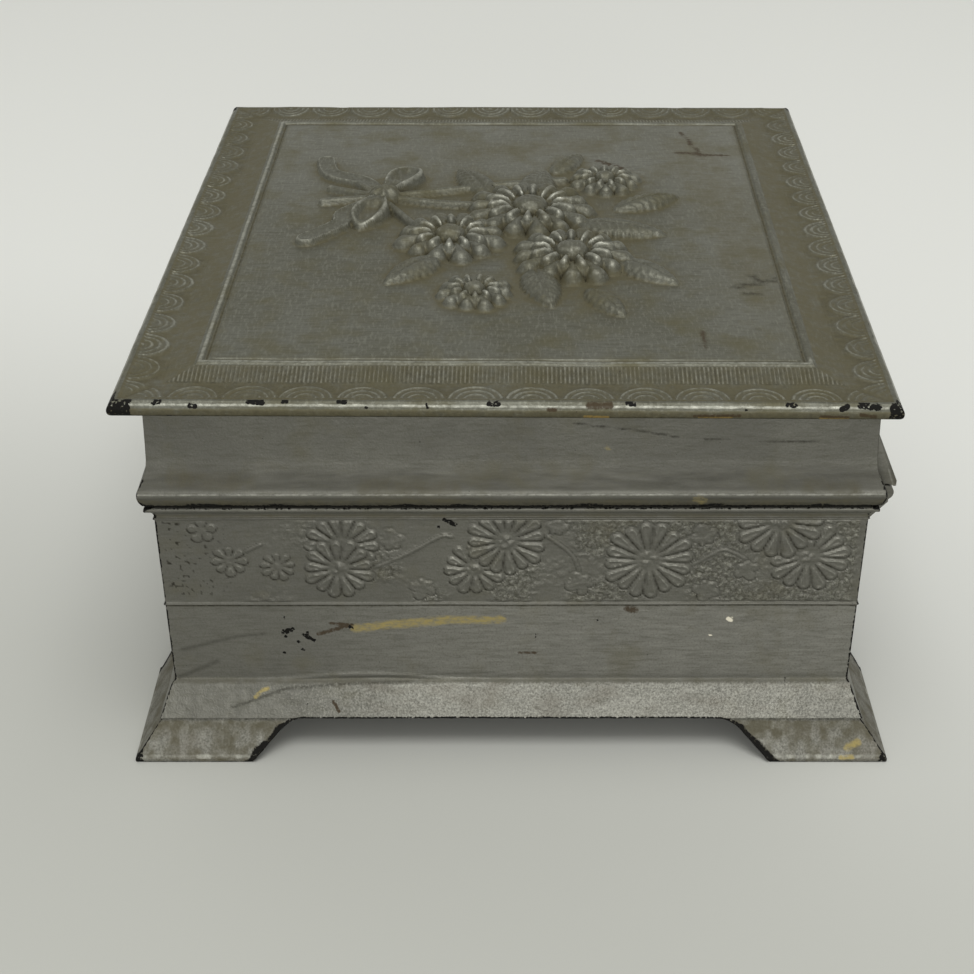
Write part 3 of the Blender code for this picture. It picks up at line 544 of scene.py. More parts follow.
def frieze_height(a, z, side):
    """The frieze's relief, how stippled its ground is, the motifs' dark outlines (dirt with painted shade)
    and their rims (wear with painted highlights).
    """
    b = z - Z_RIDGE
    daisies, leaves, tendrils = frieze_layout(side)
    grain = lumps(a, b, 0.42, 3) + 0.6 * lumps(a + 7, b, 0.30, 4)
    across = -a if side in MIRRORED else a
    ground = rise(lumps(a, b, 5.5, 5) + across / 45, -0.6, 0.3)
    height = 0.13 * grain * ground
    stipple = ground.copy()
    drawn = 0.9 * rise(-across, 33, 43) * rise(-grain, 0.45, 0.8)
    worn = np.zeros(a.shape)
    for line in tendrils:
        away = line_distance(a, b, smooth_line(line))
        height = np.where(away < 0.6, np.maximum(height, 0.22 * bell(away, 0, 0.2)), height)
        # Dirt with painted shade beside each tendril, and a painted highlight along its top.
        drawn = np.maximum(drawn, 0.6 * bell(away, 0.32, 0.12))
        worn = np.maximum(worn, 0.5 * bell(away, 0, 0.14))
        stipple *= rise(away, 0.2, 0.6)
    motifs = [frieze_leaf(a, b, leaf, FRIEZE_DEPTH) for leaf in leaves]
    for flower in daisies:
        depth = FRIEZE_DEPTH * (1 if flower[2] > BIG_RADIUS else SMALL_DEPTH)
        motifs.append(frieze_daisy(a, b, flower, depth))
    for motif, footprint, outline, rim in motifs:
        height = np.where(footprint, motif, height)
        drawn = np.where(footprint, outline, drawn)
        worn = np.where(footprint, rim, worn)
        stipple *= ~footprint
    half = SIDES[side][0] + WALL_FACE
    window = rise(b, 0.28, 0.5) * (1 - rise(z, Z_FRIEZE - 0.5, Z_FRIEZE - 0.28))
    window = window * (1 - rise(np.abs(a), half - 1.2, half - 0.5))
    return [value * window for value in (height, stipple, drawn, worn)]


BASE_CORNERS = (
    # out, z, softness
    (-4.6, 39.5, 0.25), (-1.7, 39.5, 0.28), (-1.7, 38.88, 0.2), (-2.25, 38.62, 0.2), (-2.66, 38.2, 0.2),
    (-2.8, 37.7, 0), (-2.8, 37.52, 0.08), (-2.56, 37.3, 0.12), (-2.8, 37.06, 0.08), (-2.8, 23.66, 0.08),
    (-2.56, 23.42, 0.12), (-2.8, 23.16, 0.1), (-2.8, 10.4, 0.35), (-2.3, 9.85, 0.3), (-0.6, 5.45, 0.4),
    (-0.42, 5.15, 0.12), (-0.7, 4.98, 0.12), (-0.2, 4.5, 0.2), (2.62, 0.95, 0.3), (2.85, 0.62, 0.15),
    (2.85, 0.0, 0.22), (0.85, 0.0, 0.1), (-2.4, 4.5, 0.3), (-4.6, 5.2, 0.3), (-5.8, 5.2, 0.15),
    (-5.8, 6.4, 0.15), (-4.6, 6.4, 0.2),
)
# The plate that the photo shows is modelled finely all over its face, the others over the frieze.
FINE_FROM = {"front": Z_RIDGE + 0.2, "right": 0.9, "back": Z_RIDGE + 0.2, "left": Z_RIDGE + 0.2}


def shape_base_wall(side):
    """Gives a base wall's face its frieze, the hand of its maker and the roughness of its foot."""
    def shape(along, out, z, row):
        face = out > WALL_INSIDE + 0.5
        upper = face & (z > Z_MOULDING)
        relief = frieze_height(along, z, side)[0]
        hand = 0.05 * lumps(along + 31, z, 11, 21) + 0.025 * lumps(along, z, 3.4, 22)
        in_frieze = face & (z > Z_RIDGE) & (z < Z_FRIEZE)
        out = out + np.where(in_frieze, relief, 0) + np.where(upper, hand - 0.05, 0)
        rough = 0.05 * lumps(along, z, 2.2, 23) + 0.03 * lumps(along, z, 0.9, 24)
        foot = 0.05 * lumps(along, z, 1.1, 26) + 0.04 * lumps(along, z, 0.6, 27) - 0.05
        out = out + np.where(face & (z < Z_MOULDING) & (z > 0.8), rough - 0.06, 0)
        out = out + np.where(face & (z < Z_FOOT - 0.3) & (z > 0.8), foot, 0)
        if side == "right":
            crease = 9.9 + 1.3 * bell(along, -20, 12)
            ridge = 0.12 * bell(z, crease, 0.35) * rise(-along, -2, 6)
            out = out + np.where(upper & (z < 13), ridge, 0)
        return out, z
    return shape


ARCH_SLOPE = math.radians(42)
ARCH_SHOULDER = 2.0


def arch_corners(side):
    """Outline of the space between two feet: flat top, soft shoulders and sloped ends."""
    half, _, _, foot = SIDES[side]
    run = 1 / math.tan(ARCH_SLOPE)
    bottom = half + FOOT_FACE - foot
    low, high = bottom + run, bottom - Z_FOOT * run
    corners = (-low, -1, 0), (low, -1, 0), (high, Z_FOOT, ARCH_SHOULDER), (-high, Z_FOOT, ARCH_SHOULDER)
    return soften(corners, 6)


def arch_solid(side):
    """Solid of that space, pushed through the wall."""
    _, reach, turn, _ = SIDES[side]
    bm = prism([(a, -(reach + 4), z) for a, z in arch_corners(side)], (0, 12, 0))
    bmesh.ops.rotate(bm, verts=bm.verts, matrix=Matrix.Rotation(math.radians(turn), 3, "Z"))
    return bm


# Hinge posts, cast on the back wall's rim, two to a hinge: a round knuckle on a tail down the
# wall. The bores for the pins were drilled from the hinges' inner ends and stop short of the outer.
PIN_Y, PIN_Z = frame["joints"][0]["pos_m"][1] / MM, frame["joints"][0]["pos_m"][2] / MM
HINGE_X = 46.2
HINGE_LENGTH = 11.0
HINGE_ROOT = 46.95
KNUCKLE = 1.1
POST_LENGTH = 3.0
POST_OUT, POST_IN = 0.5, 0.9
POST_SUNK, POST_TAIL = 0.2, 2.6
POST_PLACES = [sign * HINGE_X + offset for sign in (-1, 1) for offset in (-4.0, 4.0)]
BORE, BORE_COVER = 0.65, 1.0


def hinge_arc(radius, start, stop, steps):
    """Points (y, z) round the pin from one angle to another, in degrees."""
    angles = np.radians(np.linspace(start, stop, steps + 1))
    return [(PIN_Y + radius * math.cos(t), PIN_Z + radius * math.sin(t)) for t in angles]


def hinge_prism(outline, centre, length, edge):
    """Solid from a (y, z) outline across the box, with softened edges."""
    bm = prism([(centre - length / 2, y, z) for y, z in outline], (length, 0, 0))
    if edge:
        bmesh.ops.recalc_face_normals(bm, faces=bm.faces)
        ends = [item for item in bm.edges if item.calc_face_angle(0) > math.radians(35)]
        bmesh.ops.bevel(bm, geom=ends, offset=edge * MM, segments=2, profile=0.5, affect="EDGES",
                        material=-1, clamp_overlap=True)
    return bm


def base_posts():
    """Solids of the posts: round over the pin, let into the rim and tailing off down the wall."""
    first = -math.degrees(math.acos(POST_OUT / KNUCKLE))
    last = 180 + math.degrees(math.acos(POST_IN / KNUCKLE))
    outline = hinge_arc(KNUCKLE, first, last, 30)
    outline += [(PIN_Y - POST_IN, Z_RIM - POST_SUNK), (HINGE_ROOT, Z_RIM - POST_SUNK)]
    outline += [(HINGE_ROOT, Z_RIM - POST_TAIL), (DEPTH / 2 + WALL_FACE, Z_RIM - POST_TAIL)]
    outline.append((PIN_Y + POST_OUT, Z_RIM))
    return [hinge_prism(outline, place, POST_LENGTH, 0) for place in POST_PLACES]


def pin_bore(sign):
    """Hole for a pin, open at the inner end of its hinge and blind at the outer one."""
    bm = bmesh.new()
    bmesh.ops.create_cone(bm, cap_ends=True, segments=32, radius1=BORE * MM, radius2=BORE * MM,
                          depth=HINGE_LENGTH * MM)
    bmesh.ops.rotate(bm, verts=bm.verts, matrix=Matrix.Rotation(math.pi / 2, 3, "Y"))
    middle = sign * (HINGE_X - BORE_COVER)
    bmesh.ops.translate(bm, verts=bm.verts, vec=Vector((middle, PIN_Y, PIN_Z)) * MM)
    return bm


# Silver paint over white metal: aluminium flake in varnish, brushed on by hand. It gives a dull grey
# with a soft sheen, brown where dirt has stayed, bright where edges rubbed and black where it chipped.
# Its masks also paint in light and shade: painted shade under edges, in grooves and on inner faces,
# and painted highlights and a painted sheen on lit edges, tops and faces.
EVEN = (1, 1, 1)
BRUSHED = (0.13, 0.13, 1)
CHIP_DEPTH = 0.06


def silver_paint(name, tone, roughness, metallic, layers, skins):
    """Paint built up in layers: each shows where its noise, times its mask, rises from low to high."""
    material, tree, shader = new_material(name)
    place = add_node(tree, "ShaderNodeTexCoord").outputs["Object"]

    def mottle(lump, stretch, offset, mask):
        """Noise with lumps of a size in millimetres, kept to where a mask is painted."""
        spread = add_node(tree, "ShaderNodeMapping", {"Vector": place, "Scale": stretch,
                                                      "Location": offset})
        noise = add_node(tree, "ShaderNodeTexNoise", {"Vector": spread.outputs[0], "Scale": 1000 / lump,
                                                      "Detail": 3.0, "Roughness": 0.6})
        if not mask:
            return noise.outputs["Fac"]
        painted = add_node(tree, "ShaderNodeAttribute", attribute_name=mask)
        kept = {0: noise.outputs["Fac"], 1: painted.outputs["Fac"]}
        return add_node(tree, "ShaderNodeMath", kept, operation="MULTIPLY").outputs[0]

    colour, rough, metal = linear(tone), roughness, metallic
    for hex_colour, layer_rough, layer_metal, lump, stretch, low, high, amount, mask in layers:
        value = mottle(lump, stretch, (lump, 0, 0), mask)
        share = add_node(tree, "ShaderNodeMapRange", {"Value": value, "From Min": low, "From Max": high,
                                                      "To Max": amount}).outputs[0]
        colour = add_node(tree, "ShaderNodeMix", {0: share, 6: colour, 7: linear(hex_colour)},
                          data_type="RGBA").outputs[2]
        rough = add_node(tree, "ShaderNodeMix", {0: share, 2: rough, 3: layer_rough}).outputs[0]
        metal = add_node(tree, "ShaderNodeMix", {0: share, 2: metal, 3: layer_metal}).outputs[0]
    tree.links.new(colour, shader.inputs["Base Color"])
    tree.links.new(rough, shader.inputs["Roughness"])
    tree.links.new(metal, shader.inputs["Metallic"])
    shader.inputs["Specular IOR Level"].default_value = 0.12

    # The skin under the paint: the last layer's chips are sunk, and the casting is grained.
    relief = add_node(tree, "ShaderNodeBump", {"Height": share, "Distance": -CHIP_DEPTH * MM,
                                               "Strength": 1.0}).outputs[0]
    for lump, stretch, depth, mask in skins:
        height = mottle(lump, stretch, (0, lump, 0), mask)
        relief = add_node(tree, "ShaderNodeBump", {"Height": height, "Distance": depth * MM,
                                                   "Strength": 1.0, "Normal": relief}).outputs[0]
    tree.links.new(relief, shader.inputs["Normal"])
    return material


WALL_LAYERS = (
    # colour, roughness, metallic, lump mm, stretch, low, high, share, mask
    ("61605a", 0.50, 0.60, 18.0, EVEN, 0.38, 0.62, 0.80, None),
    # painted light: a lighter tone over the plain band, fading towards one end
    ("8a8982", 0.44, 0.70, 0.55, BRUSHED, 0.00, 0.80, 0.96, "pale"),
    ("3f3e37", 0.62, 0.20, 0.80, BRUSHED, 0.00, 0.60, 0.96, "shade"),
    ("504f45", 0.50, 0.50, 0.45, BRUSHED, 0.48, 0.70, 0.40, None),
    ("5a5642", 0.60, 0.25, 6.00, EVEN, 0.56, 0.76, 0.40, None),
    ("55544a", 0.50, 0.60, 0.30, EVEN, 0.50, 0.64, 0.35, None),
    # painted highlight over the moulding and the feet; the next layer and two skins give them grain
    ("a8a79e", 0.42, 0.70, 0.30, EVEN, 0.34, 0.66, 0.50, "sparkle"),
    ("625b50", 0.55, 0.40, 2.80, (0.4, 0.4, 1), 0.46, 0.66, 0.30, "sparkle"),
    ("3a382d", 0.60, 0.30, 0.45, EVEN, 0.46, 0.58, 0.55, "stipple"),
    ("8f8f84", 0.42, 0.70, 0.50, EVEN, 0.50, 0.62, 0.40, "stipple"),
    # dirt in hollows, with painted shade under edges and on the inner faces
    ("545040", 0.62, 0.20, 1.60, EVEN, 0.10, 0.55, 0.85, "hollow"),
    # dirt in grooves and outlines, with painted shade under edges and on the motifs' lower sides
    ("25231a", 0.65, 0.10, 0.60, EVEN, 0.10, 0.48, 0.92, "groove"),
    # worn edges, with painted highlights on upper rims, the ridge and the bead
    ("b4b4aa", 0.38, 0.75, 0.90, EVEN, 0.12, 0.50, 0.85, "rubbed"),
    ("988a58", 0.50, 0.40, 0.40, (0.4, 0.4, 1), 0.22, 0.58, 0.90, "gilt"),
    ("3c3122", 0.60, 0.20, 0.40, EVEN, 0.22, 0.48, 0.90, "rust"),
    ("d6d0bd", 0.60, 0.00, 0.50, EVEN, 0.10, 0.30, 1.00, "fleck"),
    ("100e0a", 0.60, 0.00, 0.60, EVEN, 0.735, 0.76, 0.90, None),
    # chips, and black painted as shade on the walls' inner faces near the floor
    ("0c0b08", 0.60, 0.00, 0.45, EVEN, 0.36, 0.41, 1.00, "chip"),
)
WALL_SKINS = (
    # lump mm, stretch, depth mm, mask
    (3.20, EVEN, 0.09, None), (0.30, EVEN, 0.030, None), (0.50, BRUSHED, 0.02, None),
    (0.45, EVEN, 0.14, "stipple"), (0.30, EVEN, 0.035, "sparkle"), (1.10, EVEN, 0.08, "sparkle"),
)
wall_paint = silver_paint("silver_paint_on_castings", "6b6a63", 0.44, 0.70, WALL_LAYERS, WALL_SKINS)

# Marks on the right-hand wall as the photo shows them, and a few like them on the others.
WALL_MARKS = {
    # kind: strokes from (along, z) to (along, z) with a half width
    "right": {
        "gilt": ((-21.4, 19.2, -16.1, 19.9, 0.85), (-16.1, 19.9, -8.8, 20.6, 0.9),
                 (-8.8, 20.6, -1.3, 20.7, 0.8), (-35.9, 8.1, -35.0, 8.9, 0.35),
                 (-34.9, 9.0, -34.1, 9.3, 0.35), (47.2, 1.8, 48.9, 2.4, 0.5),
                 (46.3, 0.7, 48.0, 0.8, 0.35)),
        "rust": ((1.2, 15.0, 3.5, 15.0, 0.28), (-26.5, 18.3, -21.9, 19.8, 0.4),
                 (-24.9, 20.1, -22.4, 19.9, 0.3), (-24.9, 7.4, -24.2, 6.1, 0.3),
                 (16.0, 22.6, 16.9, 22.3, 0.7)),
        "fleck": ((29.8, 20.8, 30.2, 20.6, 0.3), (30.4, 21.2, 30.4, 21.1, 0.1),
                  (27.4, 18.0, 27.7, 18.0, 0.12)),
        "chip": ((-31.3, 18.6, -30.4, 18.9, 0.6), (-28.6, 18.1, -27.2, 17.2, 0.4),
                 (-29.4, 17.0, -29.3, 16.9, 0.3), (-31.1, 17.9, -31.0, 17.8, 0.3),
                 (-30.0, 19.3, -29.9, 19.2, 0.3), (-28.2, 17.6, -28.0, 18.6, 0.3),
                 (-28.9, 15.6, -28.7, 15.5, 0.3), (-31.5, 15.1, -31.4, 15.0, 0.28),
                 (-31.1, 21.2, -31.1, 21.0, 0.25), (-24.2, 21.6, -24.1, 21.5, 0.2),
                 (-22.1, 19.5, -21.9, 19.2, 0.4), (3.4, 18.2, 3.4, 17.2, 0.18),
                 (-8.9, 37.2, -7.4, 36.3, 0.45), (-9.6, 36.0, -9.5, 35.9, 0.3),
                 (11.9, 20.6, 12.0, 20.5, 0.2), (38.4, 10.6, 38.4, 9.7, 0.14)),
        "groove": ((-46.5, 10.7, -40.9, 13.5, 0.4), (-39.3, 6.6, -31.5, 9.3, 0.25),
                   (-31.5, 9.3, -24.0, 9.8, 0.25), (-24.0, 9.8, -13.5, 10.1, 0.2),
                   (-24.0, 10.6, -2.2, 11.6, 0.16), (-45.6, 15.6, -37.6, 17.9, 0.35),
                   (-37.6, 17.9, -34.0, 18.3, 0.3)),
    },
    "front": {
        "gilt": ((12.0, 16.5, 21.0, 17.2, 0.3),), "rust": ((-18.0, 12.6, -16.4, 12.9, 0.3),),
        "fleck": ((-31.0, 18.2, -30.6, 18.2, 0.2),), "chip": ((33.0, 14.2, 34.0, 13.2, 0.4),),
        "groove": ((-20.0, 11.2, 4.0, 12.0, 0.14),),
    },
    "back": {
        "gilt": ((-30.0, 20.2, -24.0, 19.8, 0.3),), "rust": ((8.0, 14.0, 9.5, 13.6, 0.35),),
        "fleck": ((22.0, 12.0, 22.3, 12.2, 0.2),), "chip": ((-5.0, 19.0, -4.0, 18.2, 0.4),),
        "groove": ((10.0, 17.5, 26.0, 18.6, 0.14),),
    },
    "left": {
        "gilt": ((6.0, 18.2, 11.0, 17.8, 0.3),), "rust": ((-22.0, 16.0, -21.0, 15.4, 0.3),),
        "fleck": ((15.0, 13.0, 15.4, 13.2, 0.2),), "chip": ((28.0, 20.0, 28.8, 19.0, 0.4),),
        "groove": ((-12.0, 14.5, 4.0, 13.6, 0.14),),
    },
}


def mark_masks(along, z, marks, where):
    """One mask for each kind of mark: soft spots and strokes, kept to where they lie."""
    masks = {}
    for kind, strokes in marks.items():
        value = np.zeros(along.shape)
        for x0, z0, x1, z1, half in strokes:
            away = line_distance(along, z, ((x0, z0), (x1, z1)))
            value = np.maximum(value, 1 - rise(away, half * 0.3, half * 1.6))
        masks[kind] = value * where
    return masks


WALL_LINES = {
    # mask: soft lines along the wall, each a height, a width and a share. The dark lines under the rim,
    # under the ridge and where the foot meets the moulding are painted shade, one more darkens the corner
    # over the moulding, the light line on the ridge's top is a painted highlight, and the lowest one
    # lightens the foot's bottom edge.
    "hollow": ((37.75, 0.35, 0.8), (23.1, 0.3, 0.5), (10.25, 0.5, 0.5), (4.3, 0.7, 0.45)),
    "groove": ((23.12, 0.11, 0.9), (4.9, 0.3, 0.5), (38.7, 0.14, 0.5)),
    "rubbed": ((Z_RIDGE + 0.08, 0.10, 0.2), (0.9, 0.25, 0.4)),
}


def mask_base_wall(mesh, side):
    """Dirt in the frieze and the hollows with painted shade under edges and on the inner faces, worn edges
    with painted highlights, painted light on the band and plinth, and chips at the seams and the arch.
    """
    along, out, z = from_world(read_places(mesh), side)
    face = out > WALL_INSIDE + 0.6
    inside = 1.0 * (out < WALL_INSIDE + 0.6)
    # The motifs' outlines are dirt with painted shade on their lower sides, and their rims wear with
    # painted highlights.
    _, stipple, drawn, worn = frieze_height(along, z, side)
    in_frieze = face & (z > Z_RIDGE + 0.3) & (z < Z_FRIEZE - 0.3)
    marks = mark_masks(along, z, WALL_MARKS[side], face)
    lines = {kind: sum(share * bell(z, level, width) for level, width, share in rows) * face
             for kind, rows in WALL_LINES.items()}

    patches = rise(lumps(along, z, 7.0, 25), 0.1, 0.7)
    foot = face * (1 - rise(z, 4.6, 5.0))
    # Dirt in the stippled ground and on the foot, with the lines' painted shade, and the inner faces
    # painted dark as shade.
    hollow = 0.5 * in_frieze * (0.3 + 0.7 * patches) * stipple + lines["hollow"] + 0.9 * inside
    hollow += foot * (0.30 + 0.55 * rise(lumps(along, z, 1.1, 28), -0.4, 0.5))
    groove = drawn * in_frieze + lines["groove"]
    rubbed = 0.42 * worn * in_frieze + lines["rubbed"]
    rubbed += 0.3 * foot * rise(lumps(along, z, 0.8, 29), 0.1, 0.8)

    # Painted light: the plain band is lighter, and on the right-hand wall more so towards one end.
    band = rise(z, 10.4, 12.0) * (1 - rise(z, 23.0, 23.3)) * face
    fade = rise(along, -40, 5) if side == "right" else 1
    pale = band * (0.25 + 0.75 * fade)
    # Painted highlight on the moulding and the feet, weaker towards one end of the right-hand wall, as
    # painted shade.
    dull_end = 0.4 * (1 - rise(along, -45, -5)) * (z > Z_FOOT) * (side == "right")
    sparkle = face * (1 - rise(z, 9.8, 10.8)) * (1 - dull_end)

    end = SIDES[side][0] + out - np.abs(along)
    chip = (0.95 * bell(end, 0, 0.35) + bell(z, 0, 0.28)) * face
    chip += 0.72 * bell(z, 39.45, 0.25) * (out > -2.2)
    # A ragged dark band along the arch's edge, wider down its slopes.
    arch = arch_corners(side)
    beside = line_distance(along, z, np.vstack((arch[1:], arch[:1])))
    slope = rise(Z_FOOT - z, 0.3, 0.9)
    ragged = slope * (0.3 + 0.3 * lumps(along, z, 0.8, 30))
    edge = (1 - rise(beside, 0.25 + ragged, 0.65 + ragged)) * (z < Z_FOOT + 0.8)
    groove += 1.2 * edge * slope * face
    # The band along the arch's edge is dark here too, and the inner faces near the floor are painted black,
    # as shade under the box.
    chip += (0.95 + 0.4 * slope) * edge * face + inside * (z < 6.6)
    chip += 1.2 * (1 - rise(np.hypot(end, z), 0.8, 1.7)) * face
    paint_mask(mesh, hollow=hollow, groove=np.maximum(groove, 0.35 * marks["groove"]), rubbed=rubbed,
               chip=np.maximum(chip, marks["chip"]), stipple=stipple * in_frieze, gilt=marks["gilt"],
               rust=marks["rust"], fleck=marks["fleck"], sparkle=sparkle, pale=pale,
               shade=0.5 * marks["groove"])


for side in SIDES:
    outline = pace(soften(BASE_CORNERS), FINE_FROM[side], Z_FRIEZE - 0.2, FRIEZE_STEP, 1.0)
    out, z = outline.T
    fine_rows = np.flatnonzero((out > WALL_INSIDE + 0.5) & (z > FINE_FROM[side]) & (z < Z_FRIEZE))
    cuts = ((fine_rows.min() - 1, fine_rows.max() + 1, 2),)
    wall = bend_ribbon("wall", side, outline, WALL_COLUMN, cuts, shape_base_wall(side), SEAM)
    close_mesh(wall)
    wall = combine(wall, arch_solid(side), "DIFFERENCE")
    if side == "back":
        for post in base_posts():
            wall = combine(wall, post, "UNION")
        for sign in (-1, 1):
            wall = combine(wall, pin_bore(sign), "DIFFERENCE")
    mask_base_wall(wall, side)
    shade(wall, 62)
    add_piece(f"{side}_wall_casting", wall, "base", wall_paint,
              (f"base_{side}_wall",))


# Floor plate: a rectangle of tinned sheet steel, cut with shears and laid on the ledge. The rolls
# left fine lines along it, and handling has dulled and stained it.
def tinned_sheet():
    material, tree, shader = new_material("rolled_tinplate")
    place = add_node(tree, "ShaderNodeTexCoord").outputs["Object"]
    rolled = add_node(tree, "ShaderNodeMapping", {"Vector": place, "Scale": (0.08, 1, 1)})
    lines = add_node(tree, "ShaderNodeTexNoise", {"Vector": rolled.outputs[0], "Scale": 1000 / 0.6,
                                                  "Detail": 3.0})
    stain = add_node(tree, "ShaderNodeTexNoise", {"Vector": place, "Scale": 1000 / 14, "Detail": 5.0})
    spread = add_node(tree, "ShaderNodeMapRange", {"Value": stain.outputs["Fac"], "From Min": 0.4,
                                                   "From Max": 0.68})
    tone = add_node(tree, "ShaderNodeMix", {0: spread.outputs[0], 6: linear("8e8c86"), 7: linear("6b6457")},
                    data_type="RGBA")
    tree.links.new(tone.outputs[2], shader.inputs["Base Color"])
    rough = add_node(tree, "ShaderNodeMapRange", {"Value": lines.outputs["Fac"], "From Min": 0.3,
                                                  "From Max": 0.7, "To Min": 0.28, "To Max": 0.46})
    tree.links.new(rough.outputs[0], shader.inputs["Roughness"])
    shader.inputs["Metallic"].default_value = 1.0
    bump = add_node(tree, "ShaderNodeBump", {"Height": lines.outputs["Fac"], "Distance": 0.01 * MM,
                                             "Strength": 1.0})
    tree.links.new(bump.outputs[0], shader.inputs["Normal"])
    return material


def refinish(node_name, material):
    """Gives a CAD node that stays as it is a finish of its own."""
    nodes[node_name].data.materials.clear()
    nodes[node_name].data.materials.append(material)


refinish("floor_plate", tinned_sheet())


# Soft solder fillets: tin and lead run up the inside corners with an iron, so they are smooth,
# slightly rippled and dull grey.
def soft_solder():
    material, tree, shader = new_material("soft_solder")
    place = add_node(tree, "ShaderNodeTexCoord").outputs["Object"]
    ripple = add_node(tree, "ShaderNodeTexNoise", {"Vector": place, "Scale": 1000 / 1.8, "Detail": 2.0})
    tone = add_node(tree, "ShaderNodeMix",
                    {0: ripple.outputs["Fac"], 6: linear("9a9a98"), 7: linear("757471")}, data_type="RGBA")
    tree.links.new(tone.outputs[2], shader.inputs["Base Color"])
    shader.inputs["Metallic"].default_value = 1.0
    shader.inputs["Roughness"].default_value = 0.38
    bump = add_node(tree, "ShaderNodeBump", {"Height": ripple.outputs["Fac"], "Distance": 0.25 * MM,
                                             "Strength": 1.0})
    tree.links.new(bump.outputs[0], shader.inputs["Normal"])
    return material


solder = soft_solder()
for corner in ("front_left", "front_right", "back_right", "back_left"):
    refinish(f"base_solder_{corner}", solder)
    refinish(f"lid_solder_{corner}", solder)


# Lining: cotton velvet glued over card on the walls and over wadding on the floor and in the lid.
# Short pile, so it darkens face on and catches light at a glancing angle.
def cotton_velvet():
    material, tree, shader = new_material("cotton_velvet")
    place = add_node(tree, "ShaderNodeTexCoord").outputs["Object"]
    pile = add_node(tree, "ShaderNodeTexNoise", {"Vector": place, "Scale": 1000 / 0.28, "Detail": 3.0,
                                                 "Roughness": 0.7})
    crushed = add_node(tree, "ShaderNodeTexNoise", {"Vector": place, "Scale": 1000 / 9, "Detail": 4.0,
                                                    "Roughness": 0.65})
    fade = add_node(tree, "ShaderNodeMapRange", {"Value": crushed.outputs["Fac"], "From Min": 0.38,
                                                 "From Max": 0.66})
    worn = add_node(tree, "ShaderNodeMix", {0: fade.outputs[0], 6: linear("6d1f28"), 7: linear("83383a")},
                    data_type="RGBA")
    nap = add_node(tree, "ShaderNodeMapRange", {"Value": pile.outputs["Fac"], "From Min": 0.35,
                                                "From Max": 0.65, "To Min": 0.45, "To Max": 1.0})
    tone = add_node(tree, "ShaderNodeMix", {0: nap.outputs[0], 6: linear("3d0f16"), 7: worn.outputs[2]},
                    data_type="RGBA")
    tree.links.new(tone.outputs[2], shader.inputs["Base Color"])
    shader.inputs["Roughness"].default_value = 0.95
    shader.inputs["Specular IOR Level"].default_value = 0.2
    shader.inputs["Sheen Weight"].default_value = 0.6
    shader.inputs["Sheen Roughness"].default_value = 0.35
    shader.inputs["Sheen Tint"].default_value = linear("d89a9a")
    bump = add_node(tree, "ShaderNodeBump", {"Height": pile.outputs["Fac"], "Distance": 0.12 * MM,
                                             "Strength": 1.0})
    tree.links.new(bump.outputs[0], shader.inputs["Normal"])
    return material


velvet = cotton_velvet()
CARD_STEP = 0.9
CARD_ROUND = 0.55


def rolled_edge(edge, radius):
    """How far a rounded face has dropped at a distance from its edge, as a share: 1 at the edge."""
    return 1 - dome(1 - np.clip(edge / radius, 0, 1), 1)


def lining_mesh(side):
    """Velvet over card: rounded edges, a slightly padded face and small puckers at its turned edges."""
    low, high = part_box(f"{side}_lining")
    size = (high - low) / MM
    middle = (high + low) / 2 / MM
    thin = 0 if size.x < size.y else 1
    long = 1 - thin
    bm = bmesh.new()
    bmesh.ops.create_cube(bm, size=2)
    for axis, spans in ((long, round(size[long] / CARD_STEP)), (2, round(size.z / CARD_STEP)), (thin, 4)):
        edges = [edge for edge in bm.edges if abs(edge.verts[0].co[axis] - edge.verts[1].co[axis]) > 1.9]
        bmesh.ops.subdivide_edges(bm, edges=edges, cuts=spans - 1, use_grid_fill=True)
    mesh = to_mesh(bm, "lining")
    unit = read_places(mesh)
    along, up, through = unit[:, long] * size[long] / 2, unit[:, 2] * size.z / 2, unit[:, thin]
    edge = np.minimum(size[long] / 2 - np.abs(along), size.z / 2 - np.abs(up))
    round_off = CARD_ROUND * rolled_edge(edge, 0.7)
    pucker = 0.10 * np.exp(-edge / 1.6) * lumps(along + up, along - up, 2.1, 41)
    quilt = 0.06 * lumps(along, up, 8, 42)
    squeeze = 1 - np.clip(round_off + np.abs(pucker) + np.abs(quilt), 0, 0.9)
    places = unit.copy()
    places[:, long] = middle[long] + along
    places[:, 2] = middle[2] + up
    places[:, thin] = middle[thin] + through * size[thin] / 2 * squeeze
    write_places(mesh, places * MM)
    close_mesh(mesh)
    mesh.shade_smooth()
    return mesh


for side in SIDES:
    lining = add_piece(f"{side}_velvet_lining", lining_mesh(side), "base", velvet,
                       (f"{side}_lining",))


# Floor cushion: a pad of wadding under the same velvet, glued down on the floor plate. It is
# crowned, and drawn in along its sides and at its corners.
PAD_CELLS = 120
PAD_CROWN = 0.7
PAD_ROUND = 0.9
PUCKERS = 22


def drop_rim(bm):
    """Draws a plate's open rim down by 1, which marks the points of its lower edge."""
    rim = [edge for edge in bm.edges if edge.is_boundary]
    grown = bmesh.ops.extrude_edge_only(bm, edges=rim)
    lowered = [item for item in grown["geom"] if isinstance(item, bmesh.types.BMVert)]
    bmesh.ops.translate(bm, verts=lowered, vec=(0, 0, -1))


